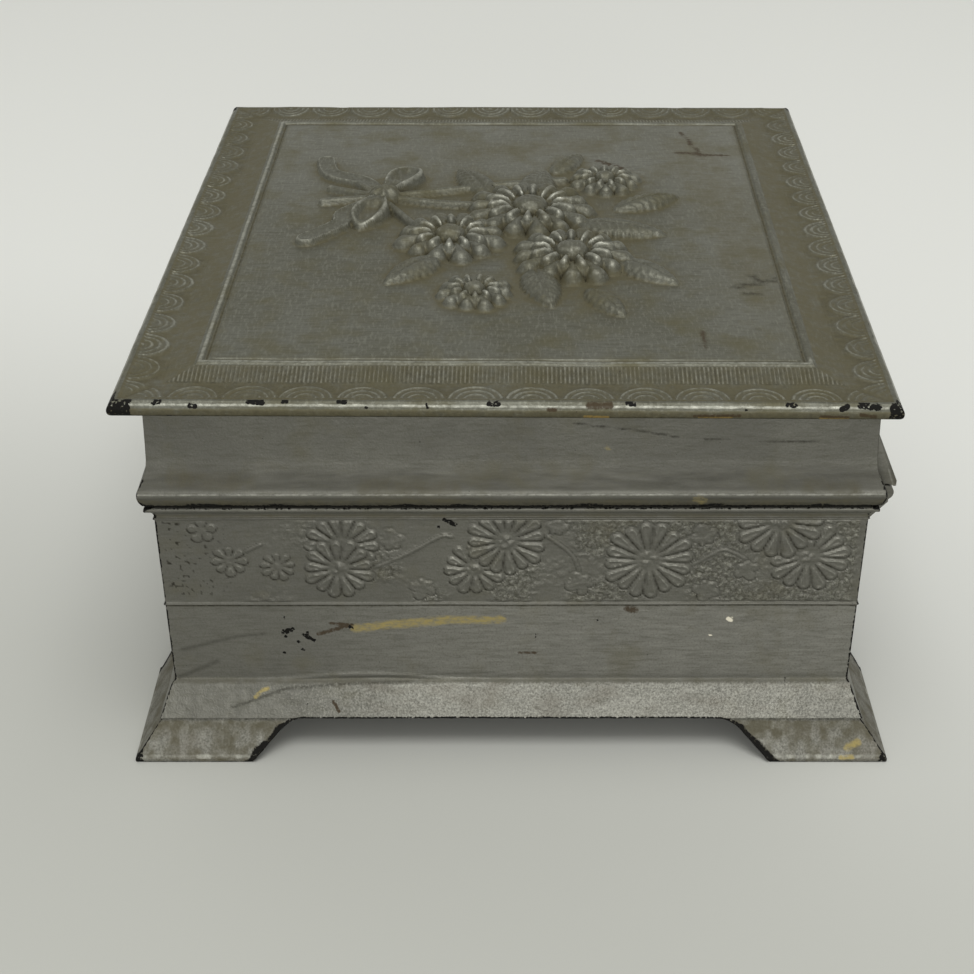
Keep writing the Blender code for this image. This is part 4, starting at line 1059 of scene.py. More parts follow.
def pad_mesh(node_name, upward):
    """Crowned pad: wadding under velvet, drawn in at the sides, with puckers from its corners."""
    low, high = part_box(node_name)
    half_x, half_y = high.x / MM, high.y / MM
    glued, open_face = (low.z / MM, high.z / MM) if upward > 0 else (high.z / MM, low.z / MM)
    thickness = abs(open_face - glued)
    bm = bmesh.new()
    bmesh.ops.create_grid(bm, x_segments=PAD_CELLS, y_segments=PAD_CELLS, size=1)
    drop_rim(bm)
    mesh = to_mesh(bm, "pad")
    unit = read_places(mesh)
    x, y = unit[:, 0] * half_x, unit[:, 1] * half_y
    edge = np.minimum(half_x - np.abs(x), half_y - np.abs(y))
    crown = 1 - (1 - unit[:, 0] ** 4) * (1 - unit[:, 1] ** 4)
    rolled = PAD_ROUND * rolled_edge(edge, 1.6)
    corner = np.minimum(1, (half_x - np.abs(x)) / 16 + (half_y - np.abs(y)) / 16)
    fan = np.sin(np.arctan2(half_y - np.abs(y) + 0.5, half_x - np.abs(x) + 0.5) * PUCKERS)
    pucker = 0.16 * (1 - corner) ** 2 * fan + 0.10 * np.exp(-edge / 2.5) * lumps(x, y, 2.6, 44)
    soft = 0.10 * lumps(x, y, 13, 45) + 0.04 * lumps(x, y, 5, 46)
    drop = np.clip(PAD_CROWN * crown * 0.6 + rolled + soft + pucker + 0.16, 0.02, PAD_CROWN + PAD_ROUND)
    z = np.where(unit[:, 2] < -0.5, glued, glued + upward * (thickness - drop))
    write_places(mesh, np.stack((x, y, z), axis=1) * MM)
    close_mesh(mesh)
    shade(mesh, 70)
    return mesh


floor_cushion = add_piece("floor_cushion", pad_mesh("floor_pad", 1), "base", velvet,
                          ("floor_pad",))


# Lid skirts: four more cast plates, flared like a cove over a half-round bead, mitred and soldered
# to the slab. They are plain, with the brush marks of the paint running along them.
SKIRT_CORNERS = (
    # out, z, softness
    (-2.92, 53.5, 0), (-2.76, 48.6, 0), (-2.66, 46.4, 0), (-2.5, 44.9, 0.6), (-2.1, 43.9, 0.5),
    (-1.55, 42.9, 0.5), (-1.2, 42.25, 0.3), (-1.12, 41.6, 0.35), (-1.2, 41.0, 0.3), (-1.45, 40.3, 0.3),
    (-1.68, 39.92, 0.08), (-1.85, 39.9, 0.1), (-3.95, 39.9, 0.2), (-4.7, 53.5, 0.1),
)
SKIRT_COLUMN = 0.6
skirt_outline = pace(soften(SKIRT_CORNERS), 39.0, 54.0, 0.4, 1.0)


def shape_skirt(along, out, z, row):
    """Gives a skirt's plain face the hand of its maker."""
    face = out > -3.2
    hand = 0.05 * lumps(along + 13, z, 12, 51) + 0.03 * lumps(along, z, 4.2, 52)
    return out + np.where(face, hand - 0.07, 0), z


# Hinge lugs, cast on the back skirt: a wedge out to a lip over the pin and a knuckle under its
# middle, with room to each side of the knuckle for the base's posts.
WEDGE_TOP = PIN_Z + 8.8
WEDGE_LIP_Y, WEDGE_LIP = PIN_Y + 1.3, 0.85
WEDGE_UNDER = PIN_Z + KNUCKLE * math.sin(math.radians(60))
LUG_EDGE = 0.12
POST_ROOM, ROOM_LOW = 0.3, 38.9


def lug_solid(centre):
    """Wedge and knuckle in one, from the back skirt out to the lip."""
    outline = [(HINGE_ROOT, WEDGE_TOP), (HINGE_ROOT + 0.3, WEDGE_TOP)]
    outline += [(WEDGE_LIP_Y, WEDGE_UNDER + WEDGE_LIP), (WEDGE_LIP_Y, WEDGE_UNDER)]
    outline += hinge_arc(KNUCKLE, 30, -140, 16)
    outline += [(HINGE_ROOT, PIN_Z - KNUCKLE * math.sin(math.radians(40)))]
    return hinge_prism(outline, centre, HINGE_LENGTH, LUG_EDGE)


def post_rooms():
    """Space that each of the base's posts turns in, up to the underside of the wedge."""
    rooms = []
    inner, outer = PIN_Y - KNUCKLE - 0.4, PIN_Y + 2.3
    under = WEDGE_UNDER + 0.1
    below = [(PIN_Y, PIN_Z), (inner, PIN_Z), (inner, ROOM_LOW), (outer, ROOM_LOW)]
    below += [(outer, under), (PIN_Y, under)]
    for place in POST_PLACES:
        turning = hinge_arc(KNUCKLE + POST_ROOM, 0, 352.5, 47)
        for outline in (turning, below):
            rooms.append(hinge_prism(outline, place, POST_LENGTH + 2 * POST_ROOM, 0))
    return rooms


SKIRT_MARKS = {
    # kind: strokes on the right-hand skirt
    "gilt": ((24.3, 41.2, 24.9, 41.0, 0.9), (12.2, 48.2, 12.5, 47.9, 0.5)),
    "groove": ((7.9, 51.7, 15.8, 50.7, 0.16), (15.8, 50.7, 21.4, 49.7, 0.18),
               (24.9, 49.3, 39.4, 48.9, 0.14)),
    "hollow": ((-18.5, 42.7, -8.0, 42.4, 1.7), (38.5, 42.9, 44.5, 42.5, 1.2),
               (-44.0, 44.0, -36.0, 43.4, 1.2)),
}


def mask_skirt(mesh, side):
    """Painted shade under the slab, over the flare and on the bead's lower face, a painted highlight along
    the bead, dirt, and chips down the seams and along the lower edge.
    """
    along, out, z = from_world(read_places(mesh), side)
    face = out > -3.4
    marks = mark_masks(along, z, SKIRT_MARKS, face & (side == "right"))
    # Painted shade on the bead's lower face, just under the slab and on the inner face, with dark patches
    # of dirt.
    hollow = 0.75 * (1 - rise(z, 40.9, 41.5)) * face + 0.55 * marks["hollow"]
    hollow += 0.6 * rise(z, 52.4, 53.5) * face + 0.9 * (out < -3.6)
    # Dark lines just under the slab and under the bead as painted shade, with strokes of dirt.
    groove = (0.6 * rise(z, 53.2, 53.5) + 0.45 * (1 - rise(z, 40.4, 41.1))) * face + 0.7 * marks["groove"]
    # A painted highlight along the bead.
    rubbed = 0.5 * bell(z, 41.95, 0.2) * face
    # Painted shade over the flare above the bead and on the bead's lower half.
    over_bead = rise(z, 42.2, 42.8) * (1 - rise(z, 44.4, 46.0))
    dull = (0.65 * over_bead + 0.8 * (1 - rise(z, 41.35, 41.75))) * face
    end = SIDES[side][0] + out - np.abs(along)
    dashes = rise(lumps(along, 0 * z + SIDES[side][2], 3.4, 57), 0.05, 0.6)
    chip = (0.95 * bell(end, 0, 0.4) + bell(z, 39.95, 0.3)) * face * (out > -2.1)
    chip += 0.85 * dashes * bell(z, 40.25, 0.45) * (out > -2.1)
    if side == "back":
        lug = (out > -1.0) | ((out > -2.0) & (z > 42.8))
        hollow += 0.5 * lug
        chip += 0.55 * lug * np.exp(-np.abs(lumps(along, z, 1.2, 55)) * 3)
    paint_mask(mesh, hollow=hollow, groove=groove, rubbed=rubbed, chip=chip, gilt=0.7 * marks["gilt"],
               shade=dull)


for side in SIDES:
    skirt = bend_ribbon("skirt", side, skirt_outline, SKIRT_COLUMN, (), shape_skirt, SEAM)
    close_mesh(skirt)
    if side == "back":
        for sign in (-1, 1):
            skirt = combine(skirt, lug_solid(sign * HINGE_X), "UNION")
        for room in post_rooms():
            skirt = combine(skirt, room, "DIFFERENCE")
        for sign in (-1, 1):
            skirt = combine(skirt, pin_bore(sign), "DIFFERENCE")
    mask_skirt(skirt, side)
    shade(skirt, 50)
    add_piece(f"{side}_skirt_casting", skirt, "lid", wall_paint,
              (f"lid_{side}_skirt",))


# Hinge pins: lengths of drawn steel wire, cut off and pushed into the bores from the inner ends.
# They have faint lines along them from the die, and are tarnished brown where they show.
def drawn_wire():
    material, tree, shader = new_material("drawn_steel_wire")
    place = add_node(tree, "ShaderNodeTexCoord").outputs["Object"]
    drawn = add_node(tree, "ShaderNodeMapping", {"Vector": place, "Scale": (0.1, 1, 1)})
    lines = add_node(tree, "ShaderNodeTexNoise", {"Vector": drawn.outputs[0], "Scale": 1000 / 0.3,
                                                  "Detail": 2.0})
    tone = add_node(tree, "ShaderNodeMix",
                    {0: lines.outputs["Fac"], 6: linear("7b776e"), 7: linear("4d4335")}, data_type="RGBA")
    tree.links.new(tone.outputs[2], shader.inputs["Base Color"])
    shader.inputs["Metallic"].default_value = 1.0
    shader.inputs["Roughness"].default_value = 0.42
    return material


wire = drawn_wire()
for hand in ("left", "right"):
    refinish(f"{hand}_hinge_pin", wire)


# Lid border: the outer part of the slab. Rounded lip, dished band of scallops, fluted or plain
# slope, and the frame round the panel, all cast in one with the slab.
LIP, DISH_EDGE, SLOPE_FROM, SLOPE_TO = 1.2, 5.8, 6.1, 9.6
FRAME_RIDGE, PANEL_DITCH, PANEL_EDGE = 10.3, 11.05, 11.5
Z_SLAB_LOW, Z_EDGE_FROM, Z_TOP_FROM, Z_PANEL = 53.8, 53.9, 54.8, 56.45
FINE_ROW, PLAIN_ROW, HIDDEN_ROW = 0.2, 0.8, 3.0
FLUTE_PITCH = 0.56
SCALLOPS = {"front": 17, "back": 17, "left": 14, "right": 14}
SCALLOP_REACH = 3.9
SCALLOP_ARCS = (
    # share of the reach, width, height in mm
    (0.92, 0.075, 0.22), (0.66, 0.07, 0.19), (0.40, 0.065, 0.18), (0, 0.17, 0.14),
)
BORDER_CORNERS = (
    # out, z, softness
    (-11.5, 53.8, 0), (-0.55, 53.8, 0.5), (0.0, 54.35, 0.5), (0.0, 55.25, 0.45), (-0.75, 56.0, 0.5),
    (-1.2, 56.0, 0.15), (-1.75, 55.72, 0.35), (-5.8, 55.5, 0.6), (-9.75, 56.38, 0.2), (-10.02, 56.6, 0.2),
    (-10.6, 56.6, 0.15), (-10.85, 56.28, 0.12), (-11.25, 56.27, 0.15), (-11.5, 56.45, 0),
)
BORDER_FACE = (
    # inset, height of the border's plain face, under the ornament
    (0, 55.3), (0.75, 56), (1.2, 56), (1.75, 55.72), (5.8, 55.5), (9.75, 56.38), (10.02, 56.6),
    (10.6, 56.6), (10.85, 56.28), (11.25, 56.27), (11.5, 56.45),
)


def pace_border():
    """Rows close together over the scallops and the lip, and widest apart underneath."""
    points = soften(BORDER_CORNERS)
    paced = []
    for here, there in zip(points, np.roll(points, -1, axis=0)):
        middle = (here + there) / 2
        ornament = middle[1] > Z_TOP_FROM and -DISH_EDGE - 0.3 < middle[0] < -LIP
        lip = middle[0] > -LIP and middle[1] > Z_EDGE_FROM
        step = FINE_ROW if ornament or lip else PLAIN_ROW if middle[1] > Z_EDGE_FROM else HIDDEN_ROW
        spans = max(1, math.ceil(np.hypot(*(there - here)) / step))
        paced += [here + (there - here) * k / spans for k in range(spans)]
    return np.array(paced)


border_outline = pace_border()
top_rows = border_outline[:, 1] > Z_TOP_FROM


def scallop_height(along, inset, side):
    """Rows of concentric arcs that stand on the lip, with a dart between each two."""
    half = SIDES[side][0]
    pitch = 2 * half / SCALLOPS[side]
    odd = 0.5 if SCALLOPS[side] % 2 else 0.0
    number = np.floor(along / pitch + odd)
    centre = (number + 0.5 - odd) * pitch
    wobble = 1 + 0.05 * np.sin(number * 1.7)
    reach = np.hypot((along - centre) / (pitch * 0.485), (inset - LIP - 0.1) / SCALLOP_REACH) * wobble
    arcs = sum(height * bell(reach, middle, width) for middle, width, height in SCALLOP_ARCS)
    body = 0.07 * rise(1.02 - reach, 0, 0.12)
    between = np.abs(along / pitch - np.round(along / pitch + odd) + odd) * pitch
    dart = 0.16 * bell(between, 0, 0.22) * bell(inset - LIP - SCALLOP_REACH, 0.35, 0.55)
    corner = half - inset - np.abs(along)
    height = (arcs + body + dart) * rise(inset, LIP + 0.05, LIP + 0.35) * (1 - rise(inset, 5.6, SLOPE_FROM))
    return height * rise(corner, 0.3, 0.9)


def shape_border(side):
    """Gives the slab's edge its scallops, flutes and dents, and the hand of its maker."""
    fluted = side in ("right", "left")

    def shape(along, out, z, row):
        top = top_rows[row] & (z > Z_TOP_FROM)
        inset = -out
        scallops = np.where(top & (inset > LIP) & (inset < 6.2), scallop_height(along, inset, side), 0)
        corner = SIDES[side][0] - inset - np.abs(along)
        slope = rise(inset, SLOPE_FROM, 6.7) * (1 - rise(inset, 9.0, SLOPE_TO)) * rise(corner, 0.2, 0.8)
        ribs = np.cos(2 * math.pi * along / FLUTE_PITCH) * 0.08 if fluted else 0.0
        worn = 0.03 * lumps(along + 3, inset, 2.5, 61)
        hand = 0.05 * lumps(along + 17, inset, 9, 62)
        edge = (inset < LIP) & (z > 54.2)
        dents = 0.07 * rise(lumps(along, inset * 0 + SIDES[side][2], 2.3, 63), 0.25, 0.8) * edge
        still = (inset > 11.3) | (z < 54.2)
        relief = np.where(top, scallops + slope * ribs, 0)
        waves = np.where(still, 0, (worn + hand) * rise(corner, 0, 1.5))
        return out, z + relief + waves - dents
    return shape


# The slab was soldered on a little out of square with the skirts under it.
SLAB_SKEW = math.radians(-0.76)
SLAB_SHIFT = -0.25


def set_askew(mesh):
    """Turns and shifts a part of the slab with it."""
    mesh.transform(Matrix.Translation((0, SLAB_SHIFT * MM, 0)) @ Matrix.Rotation(SLAB_SKEW, 4, "Z"))


# Lid panel: the middle of the slab, cast in one with the border. It carries a posy in relief, of
# daisies, leaves, stems and a ribbon bow, softened by wear and dirty in its hollows.
PANEL_X, PANEL_Y = WIDTH / 2 - PANEL_EDGE, DEPTH / 2 - PANEL_EDGE
POSY_DAISIES = (
    # across, up, radius, height in mm, petals, turn in degrees
    (-12, 9, 26.5, 2.8, 14, 8), (32.5, 24.5, 23.5, 2.9, 13, 0), (15.5, -22, 22, 2.6, 12, 15),
    (-44, 40, 15.5, 2.1, 11, 0), (63.5, -11.5, 14.5, 2.0, 11, 20),
)
POSY_LEAVES = (
    # across, up, length, width, height in mm, direction in degrees
    (5, 43, 39, 16.5, 1.5, 76), (-40, 12, 36, 15.5, 1.5, 172), (58, 13, 34, 14.5, 1.5, 12),
    (44, 52, 31, 13.5, 1.4, 48), (-22, 56, 31, 13.5, 1.4, 118), (-43, -14, 34, 14, 1.4, 205),
    (43, -35, 32.5, 14, 1.4, -38), (70, 36, 26, 11, 1.2, 30), (-64, 25, 26, 11, 1.2, 150),
)
POSY_STEMS = (
    # points across and up
    ((-16, -3), (-19, -26), (-25, -49), (-35, -73)), ((13, -31), (-8, -43), (-26, -53), (-47, -66)),
    ((-44, 23), (-38, -5), (-27, -47), (-21, -75)),
)
BOW_LOOPS = (
    # length, width, height in mm, direction in degrees
    (32.5, 18, 2.0, 158), (32.5, 18, 2.0, -14),
)
BOW_KNOT, BOW_KNOT_SIZE, BOW_KNOT_HEIGHT = (-25.5, -50.5), 7.0, 2.4
BOW_TAILS = (
    # points across and up
    ((-28.5, -53), (-41.5, -60), (-50.5, -74), (-65, -78)), ((-22, -53), (-8, -65), (2.5, -66), (17, -78)),
)
POSY_FILL = 0.97
STEM_HALF_WIDTH, STEM_HEIGHT = 0.85, 1.0
RIBBON_HALF_WIDTH = 1.7


def posy_scale(value):
    """Hundredths of the panel's half depth in millimetres."""
    return value * PANEL_Y / 100


def turned_place(a, b, middle, direction):
    """Distances forth along a direction from a point of the posy, and aside of it."""
    c, s = math.cos(math.radians(direction)), math.sin(math.radians(direction))
    dx, dy = a - posy_scale(middle[0]), b - posy_scale(middle[1])
    return dx * c + dy * s, -dx * s + dy * c


def posy_daisy(a, b, flower):
    """Two tiers of domed petals, each with a crease, round a dimpled eye."""
    across, up, radius, height, petals, turn = flower
    middle = (posy_scale(across), posy_scale(up))
    size = posy_scale(radius)
    total = np.zeros(a.shape)
    for share, level, twist in ((1.0, 0.72, 0.0), (0.74, 1.0, 0.5)):
        tier = (*middle, size * share, petals, turn + twist * 360 / petals)
        inside, reach = daisy_field(a, b, tier, POSY_FILL)
        wide = size * share * math.tan(math.pi / petals) * 0.75
        swell = np.sin(0.5 * math.pi * np.clip(inside / wide, 0, 1)) ** 0.8
        crease = 0.06 * bell(inside, wide, 0.35 * wide)
        cup = 0.80 + 0.20 * np.cos(math.pi * np.clip(reach / (size * share) - 0.55, -0.55, 0.45) / 0.9)
        total = np.maximum(total, height * level * (swell * cup - crease) * (inside > 0))
    reach = np.hypot(a - middle[0], b - middle[1])
    eye_size = 0.27 * size
    eye = dome(reach, eye_size)
    seeds = 0.10 * lumps(a, b, 0.55, 71) * (reach < eye_size * 0.9)
    ditch = 0.35 * bell(reach, eye_size * 1.12, 0.16 * eye_size)
    return np.maximum(total - ditch * (total > 0), height * (0.42 + 0.58 * eye) * (eye > 0) + seeds)


def posy_leaf(a, b, leaf):
    """Pointed leaf, domed to each side of a sunk midrib, with side veins."""
    across, up, length, width, height, direction = leaf
    forth, aside = turned_place(a, b, (across, up), direction)
    share = forth / posy_scale(length) + 0.5
    half = 0.5 * posy_scale(width) * np.sin(math.pi * np.clip(share, 0, 1) ** 0.85) ** 0.8
    half = half * (1 + 0.05 * np.sin(forth * 5.2))
    across_share = np.abs(aside) / np.maximum(half, 1e-6)
    swell = dome(across_share, 1) * np.sqrt(np.sin(math.pi * np.clip(share, 0, 1)))
    rib = 0.26 * bell(aside, 0, 0.22) * rise(share, 0.04, 0.2) * (1 - rise(share, 0.75, 0.95))
    veins = 0.07 * np.cos((forth - np.abs(aside) * 0.8) * 4.6) * rise(across_share, 0.1, 0.3)
    return np.clip(height * swell - rib - veins, 0, None) * (swell > 0)


def from_posy_line(a, b, points):
    """Distance to a smooth line through points of the posy."""
    return line_distance(a, b, smooth_line([(posy_scale(x), posy_scale(y)) for x, y in points], 8))


def posy_stem(a, b, points):
    """Raised round strip along a line."""
    return STEM_HEIGHT * dome(from_posy_line(a, b, points), STEM_HALF_WIDTH)


def posy_tail(a, b, points):
    """Flat ribbon with raised edges along a line."""
    away = from_posy_line(a, b, points)
    flat = rise(RIBBON_HALF_WIDTH - away, 0, 0.35) * 0.75
    return flat + 0.25 * bell(away, 1.25, 0.3) * (away < RIBBON_HALF_WIDTH)


def bow_loop(a, b, loop):
    """Ribbon loop: a fat rounded teardrop whose inside is sunk, with folds towards the knot."""
    length, width, height, direction = loop
    forth, aside = turned_place(a, b, BOW_KNOT, direction)
    share = np.clip(forth / posy_scale(length), 0, 1)
    half = 0.5 * posy_scale(width) * np.sin(math.pi * share ** 1.35) ** 0.75
    edge = np.abs(aside) / np.maximum(half, 1e-6)
    body = rise(1 - edge, 0, 0.35) * np.sin(math.pi * share) ** 0.35
    sunk = 0.55 * (1 - rise(edge, 0.25, 0.62)) * rise(share, 0.3, 0.5) * (1 - rise(share, 0.78, 0.95))
    folds = 0.12 * np.cos(edge * 9) * (1 - rise(share, 0.2, 0.5))
    return height * np.clip(body - sunk * body + folds * body, 0, 1.2) * (forth > 0)


def bow_knot(a, b):
    """Round knot with pleats from its middle."""
    forth, aside = turned_place(a, b, BOW_KNOT, 0)
    reach = np.hypot(forth, aside) / posy_scale(BOW_KNOT_SIZE)
    pleats = 0.12 * np.cos(6 * np.arctan2(aside, forth))
    return BOW_KNOT_HEIGHT * (dome(reach, 1) + pleats * (reach < 1) * reach)


def posy_height(a, b):
    """Height of the posy over the panel, at points across and up from the panel's middle."""
    raised = [np.zeros(a.shape), bow_knot(a, b)]
    for model, places in ((posy_stem, POSY_STEMS), (posy_leaf, POSY_LEAVES), (posy_tail, BOW_TAILS),
                          (bow_loop, BOW_LOOPS), (posy_daisy, POSY_DAISIES)):
        raised += [model(a, b, place) for place in places]
    return np.maximum.reduce(raised)


def from_panel_edge(a, b):
    """Distance in from the panel's edge."""
    return np.minimum(PANEL_X - np.abs(a), PANEL_Y - np.abs(b))


def panel_height(a, b):
    """The panel's own face: almost flat, slightly swollen and worked."""
    hand = 0.10 * lumps(a, b, 14, 81) + 0.05 * lumps(a, b, 5, 82) + 0.02 * lumps(a, b, 1.8, 83)
    return posy_height(a, b) + hand * rise(from_panel_edge(a, b), 0, 3)


def blurred(field, reach):
    """Field smoothed by a bell of that many cells, along both axes."""
    span = np.arange(-3 * reach, 3 * reach + 1)
    weights = np.exp(-0.5 * (span / reach) ** 2)
    weights /= weights.sum()

    def smooth(row):
        return np.convolve(np.pad(row, 3 * reach, mode="edge"), weights, "valid")

    for axis in (0, 1):
        field = np.apply_along_axis(smooth, axis, field)
    return field


# Heights of the panel on a raster of points, to tell hollows from raised places.
RASTER, RASTER_X, RASTER_Y = 0.25, 44, 39
raster_x = np.arange(-RASTER_X, RASTER_X + RASTER, RASTER)
raster_y = np.arange(-RASTER_Y, RASTER_Y + RASTER, RASTER)
raster = np.meshgrid(raster_x, raster_y, indexing="ij")
field = panel_height(*raster)
near_dip = blurred(field, 2) - field
broad_dip = blurred(field, 8) - field


def from_raster(values, a, b):
    """Values of the raster's nearest points."""
    i = np.clip(np.rint((a - raster_x[0]) / RASTER).astype(int), 0, len(raster_x) - 1)
    j = np.clip(np.rint((b - raster_y[0]) / RASTER).astype(int), 0, len(raster_y) - 1)
    return values[i, j]


BRUSHED_OVER = (1, 0.16, 1)
LID_LAYERS = (
    # colour, roughness, metallic, lump mm, stretch, low, high, share, mask
    ("5d5c50", 0.50, 0.60, 15.0, EVEN, 0.38, 0.62, 0.80, None),
    # painted sheen: a lighter tone over the flat ground towards the panel's far side and one end
    ("8c8c84", 0.44, 0.70, 0.50, BRUSHED_OVER, 0.00, 0.80, 0.96, "pale"),
    ("48463a", 0.50, 0.50, 0.50, BRUSHED_OVER, 0.46, 0.66, 0.45, None),
    ("86867b", 0.45, 0.65, 0.40, (0.3, 1, 1), 0.50, 0.68, 0.40, None),
    ("575238", 0.60, 0.25, 7.00, EVEN, 0.48, 0.70, 0.60, None),
    # dirt and patina in hollows, and darker on the slab's edge below the lip
    ("5a5540", 0.62, 0.20, 1.60, EVEN, 0.08, 0.50, 0.80, "hollow"),
    # dirt in the deepest dips and grooves, with painted shade between the flutes
    ("28251b", 0.65, 0.10, 0.60, EVEN, 0.10, 0.48, 0.85, "groove"),
    # worn tops, with painted highlights on the relief, the frame, the flutes and the lip
    ("adada2", 0.38, 0.75, 0.90, EVEN, 0.16, 0.52, 0.80, "rubbed"),
    ("8a7440", 0.55, 0.30, 0.50, EVEN, 0.20, 0.42, 0.85, "gilt"),
    ("3d3223", 0.60, 0.15, 0.45, EVEN, 0.20, 0.45, 0.90, "rust"),
    ("100e0a", 0.60, 0.00, 0.60, EVEN, 0.735, 0.76, 0.90, None),
    ("0c0b08", 0.60, 0.00, 0.50, EVEN, 0.36, 0.41, 1.00, "chip"),
)
LID_SKINS = (
    # lump mm, stretch, depth mm, mask
    (3.20, EVEN, 0.08, None), (0.40, EVEN, 0.045, None), (0.50, BRUSHED_OVER, 0.045, None),
)
lid_paint = silver_paint("silver_paint_on_lid", "68685f", 0.44, 0.70, LID_LAYERS, LID_SKINS)

PANEL_CELL = 1.0
POSY_CUTS = 3
POSY_STARTS = 0.004


def panel_mesh():
    """Plate whose cells are finer under the posy, lifted to the relief."""
    bm = bmesh.new()
    bmesh.ops.create_grid(bm, x_segments=round(2 * PANEL_X / PANEL_CELL),
                          y_segments=round(2 * PANEL_Y / PANEL_CELL), size=1)
    for vert in bm.verts:
        vert.co.x *= PANEL_X
        vert.co.y *= PANEL_Y
    spots = np.array([face.calc_center_median()[:2] for face in bm.faces])
    high = blurred(posy_height(*raster), 4)
    wanted = from_raster(high, spots[:, 0], spots[:, 1]) > POSY_STARTS
    edges = {edge for face, want in zip(bm.faces, wanted) if want for edge in face.edges}
    bmesh.ops.subdivide_edges(bm, edges=list(edges), cuts=POSY_CUTS, use_grid_fill=True)
    drop_rim(bm)
    mesh = to_mesh(bm, "panel")
    flat = read_places(mesh)
    x, y = flat[:, 0], flat[:, 1]
    z = np.where(flat[:, 2] < -0.5, Z_SLAB_LOW, Z_PANEL + panel_height(x, y))
    write_places(mesh, np.stack((x, y, z), axis=1) * MM)
    close_mesh(mesh)
    return mesh


PANEL_MARKS = {
    # kind: strokes from (x, y) to (x, y) with a half width
    "rust": ((34.8, 26.4, 41.7, 26.3, 0.2), (38.7, 25.4, 40.2, 25.3, 0.15), (-30.4, 27.9, -29.2, 36.2, 0.6),
             (-40.5, 29.5, -28.0, 32.1, 0.5), (-26.7, 14.8, -23.1, 18.6, 0.8)),
    "groove": ((21.4, 32.2, 18.7, 39.0, 0.7), (24.0, 33.0, 23.0, 36.0, 0.5), (17.5, 35.0, 20.0, 36.5, 0.6)),
    "hollow": ((-34.0, 30.0, 20.0, 37.0, 5.0), (-30.0, -8.0, -34.0, 14.0, 4.0),
               (8.0, 33.0, 26.0, 36.0, 3.0)),
}


def mask_panel(mesh):
    """Dirt in the hollows of the posy and along the frame, worn tops with a painted highlight, and a
    painted sheen over the flat ground towards the far side.
    """
    x, y, z = (read_places(mesh) / MM).T
    top = z > Z_PANEL - 0.5
    dip = from_raster(near_dip, x, y)
    wide = from_raster(broad_dip, x, y)
    marks = mark_masks(x, y, PANEL_MARKS, top)
    hollow = (1.6 * np.clip(dip, 0, 1) + 2.2 * np.clip(wide, 0, 1)) * top
    hollow += 0.4 * np.exp(-from_panel_edge(x, y) / 0.8)
    hollow = np.maximum(hollow, 0.5 * marks["hollow"])
    groove = 1.4 * np.clip(dip - 0.12, 0, 1) * top + 0.8 * marks["groove"]
    height = z - Z_PANEL
    # Worn tops of the relief, with a painted highlight on them.
    rubbed = (1.7 * np.clip(-dip - 0.04, 0, 1) + 0.10 * rise(height, 0.8, 2.6)) * top
    # Painted sheen over the flat ground, towards the panel's far side and one end.
    pale = (0.35 * rise(-x, -10, 34) + 0.3 * rise(y, 22, 36)) * top * (height < 0.4)
    paint_mask(mesh, hollow=hollow, groove=groove, rubbed=rubbed, rust=marks["rust"], pale=pale)


panel = panel_mesh()
mask_panel(panel)
set_askew(panel)
shade(panel, 68)
add_piece("lid_panel_relief", panel, "lid", lid_paint, ("lid_top_plate",))


EDGE_MARKS = {
    # kind: strokes on the right-hand edge of the slab from (along, z) to (along, z)
    "chip": ((-47.6, 55.9, -46.9, 55.9, 0.25), (-44.2, 55.7, -43.2, 55.9, 0.3),
             (-39.6, 55.5, -38.7, 55.4, 0.32), (-32.2, 55.9, -30.2, 55.8, 0.28),
             (-27.8, 55.9, -27.2, 55.9, 0.22), (-20.8, 55.9, -19.8, 55.9, 0.25),
             (-17.3, 55.4, -17.1, 55.4, 0.18), (-9.7, 55.8, -9.5, 55.4, 0.2),
             (-1.9, 55.8, -0.6, 55.8, 0.3), (15.4, 55.9, 16.4, 55.8, 0.26),
             (30.2, 55.3, 30.4, 55.3, 0.16), (35.4, 55.8, 36.5, 55.8, 0.28),
             (42.1, 55.4, 43.0, 55.7, 0.35), (44.4, 55.8, 46.9, 55.6, 0.4),
             (-42.4, 54.1, -41.9, 54.1, 0.22), (-16.3, 53.9, -15.6, 54.0, 0.16),
             (32.6, 53.9, 37.0, 53.9, 0.2)),
    "rust": ((10.6, 55.7, 13.4, 55.7, 0.4), (5.6, 55.3, 6.5, 55.3, 0.3), (23.9, 54.5, 29.5, 54.6, 0.28),
             (39.6, 54.5, 43.0, 54.4, 0.28), (44.6, 54.8, 46.4, 54.5, 0.3)),
    "gilt": ((10.2, 54.3, 13.0, 54.2, 0.3), (24.5, 54.3, 28.5, 54.3, 0.22), (39.6, 54.2, 43.0, 54.2, 0.22)),
}


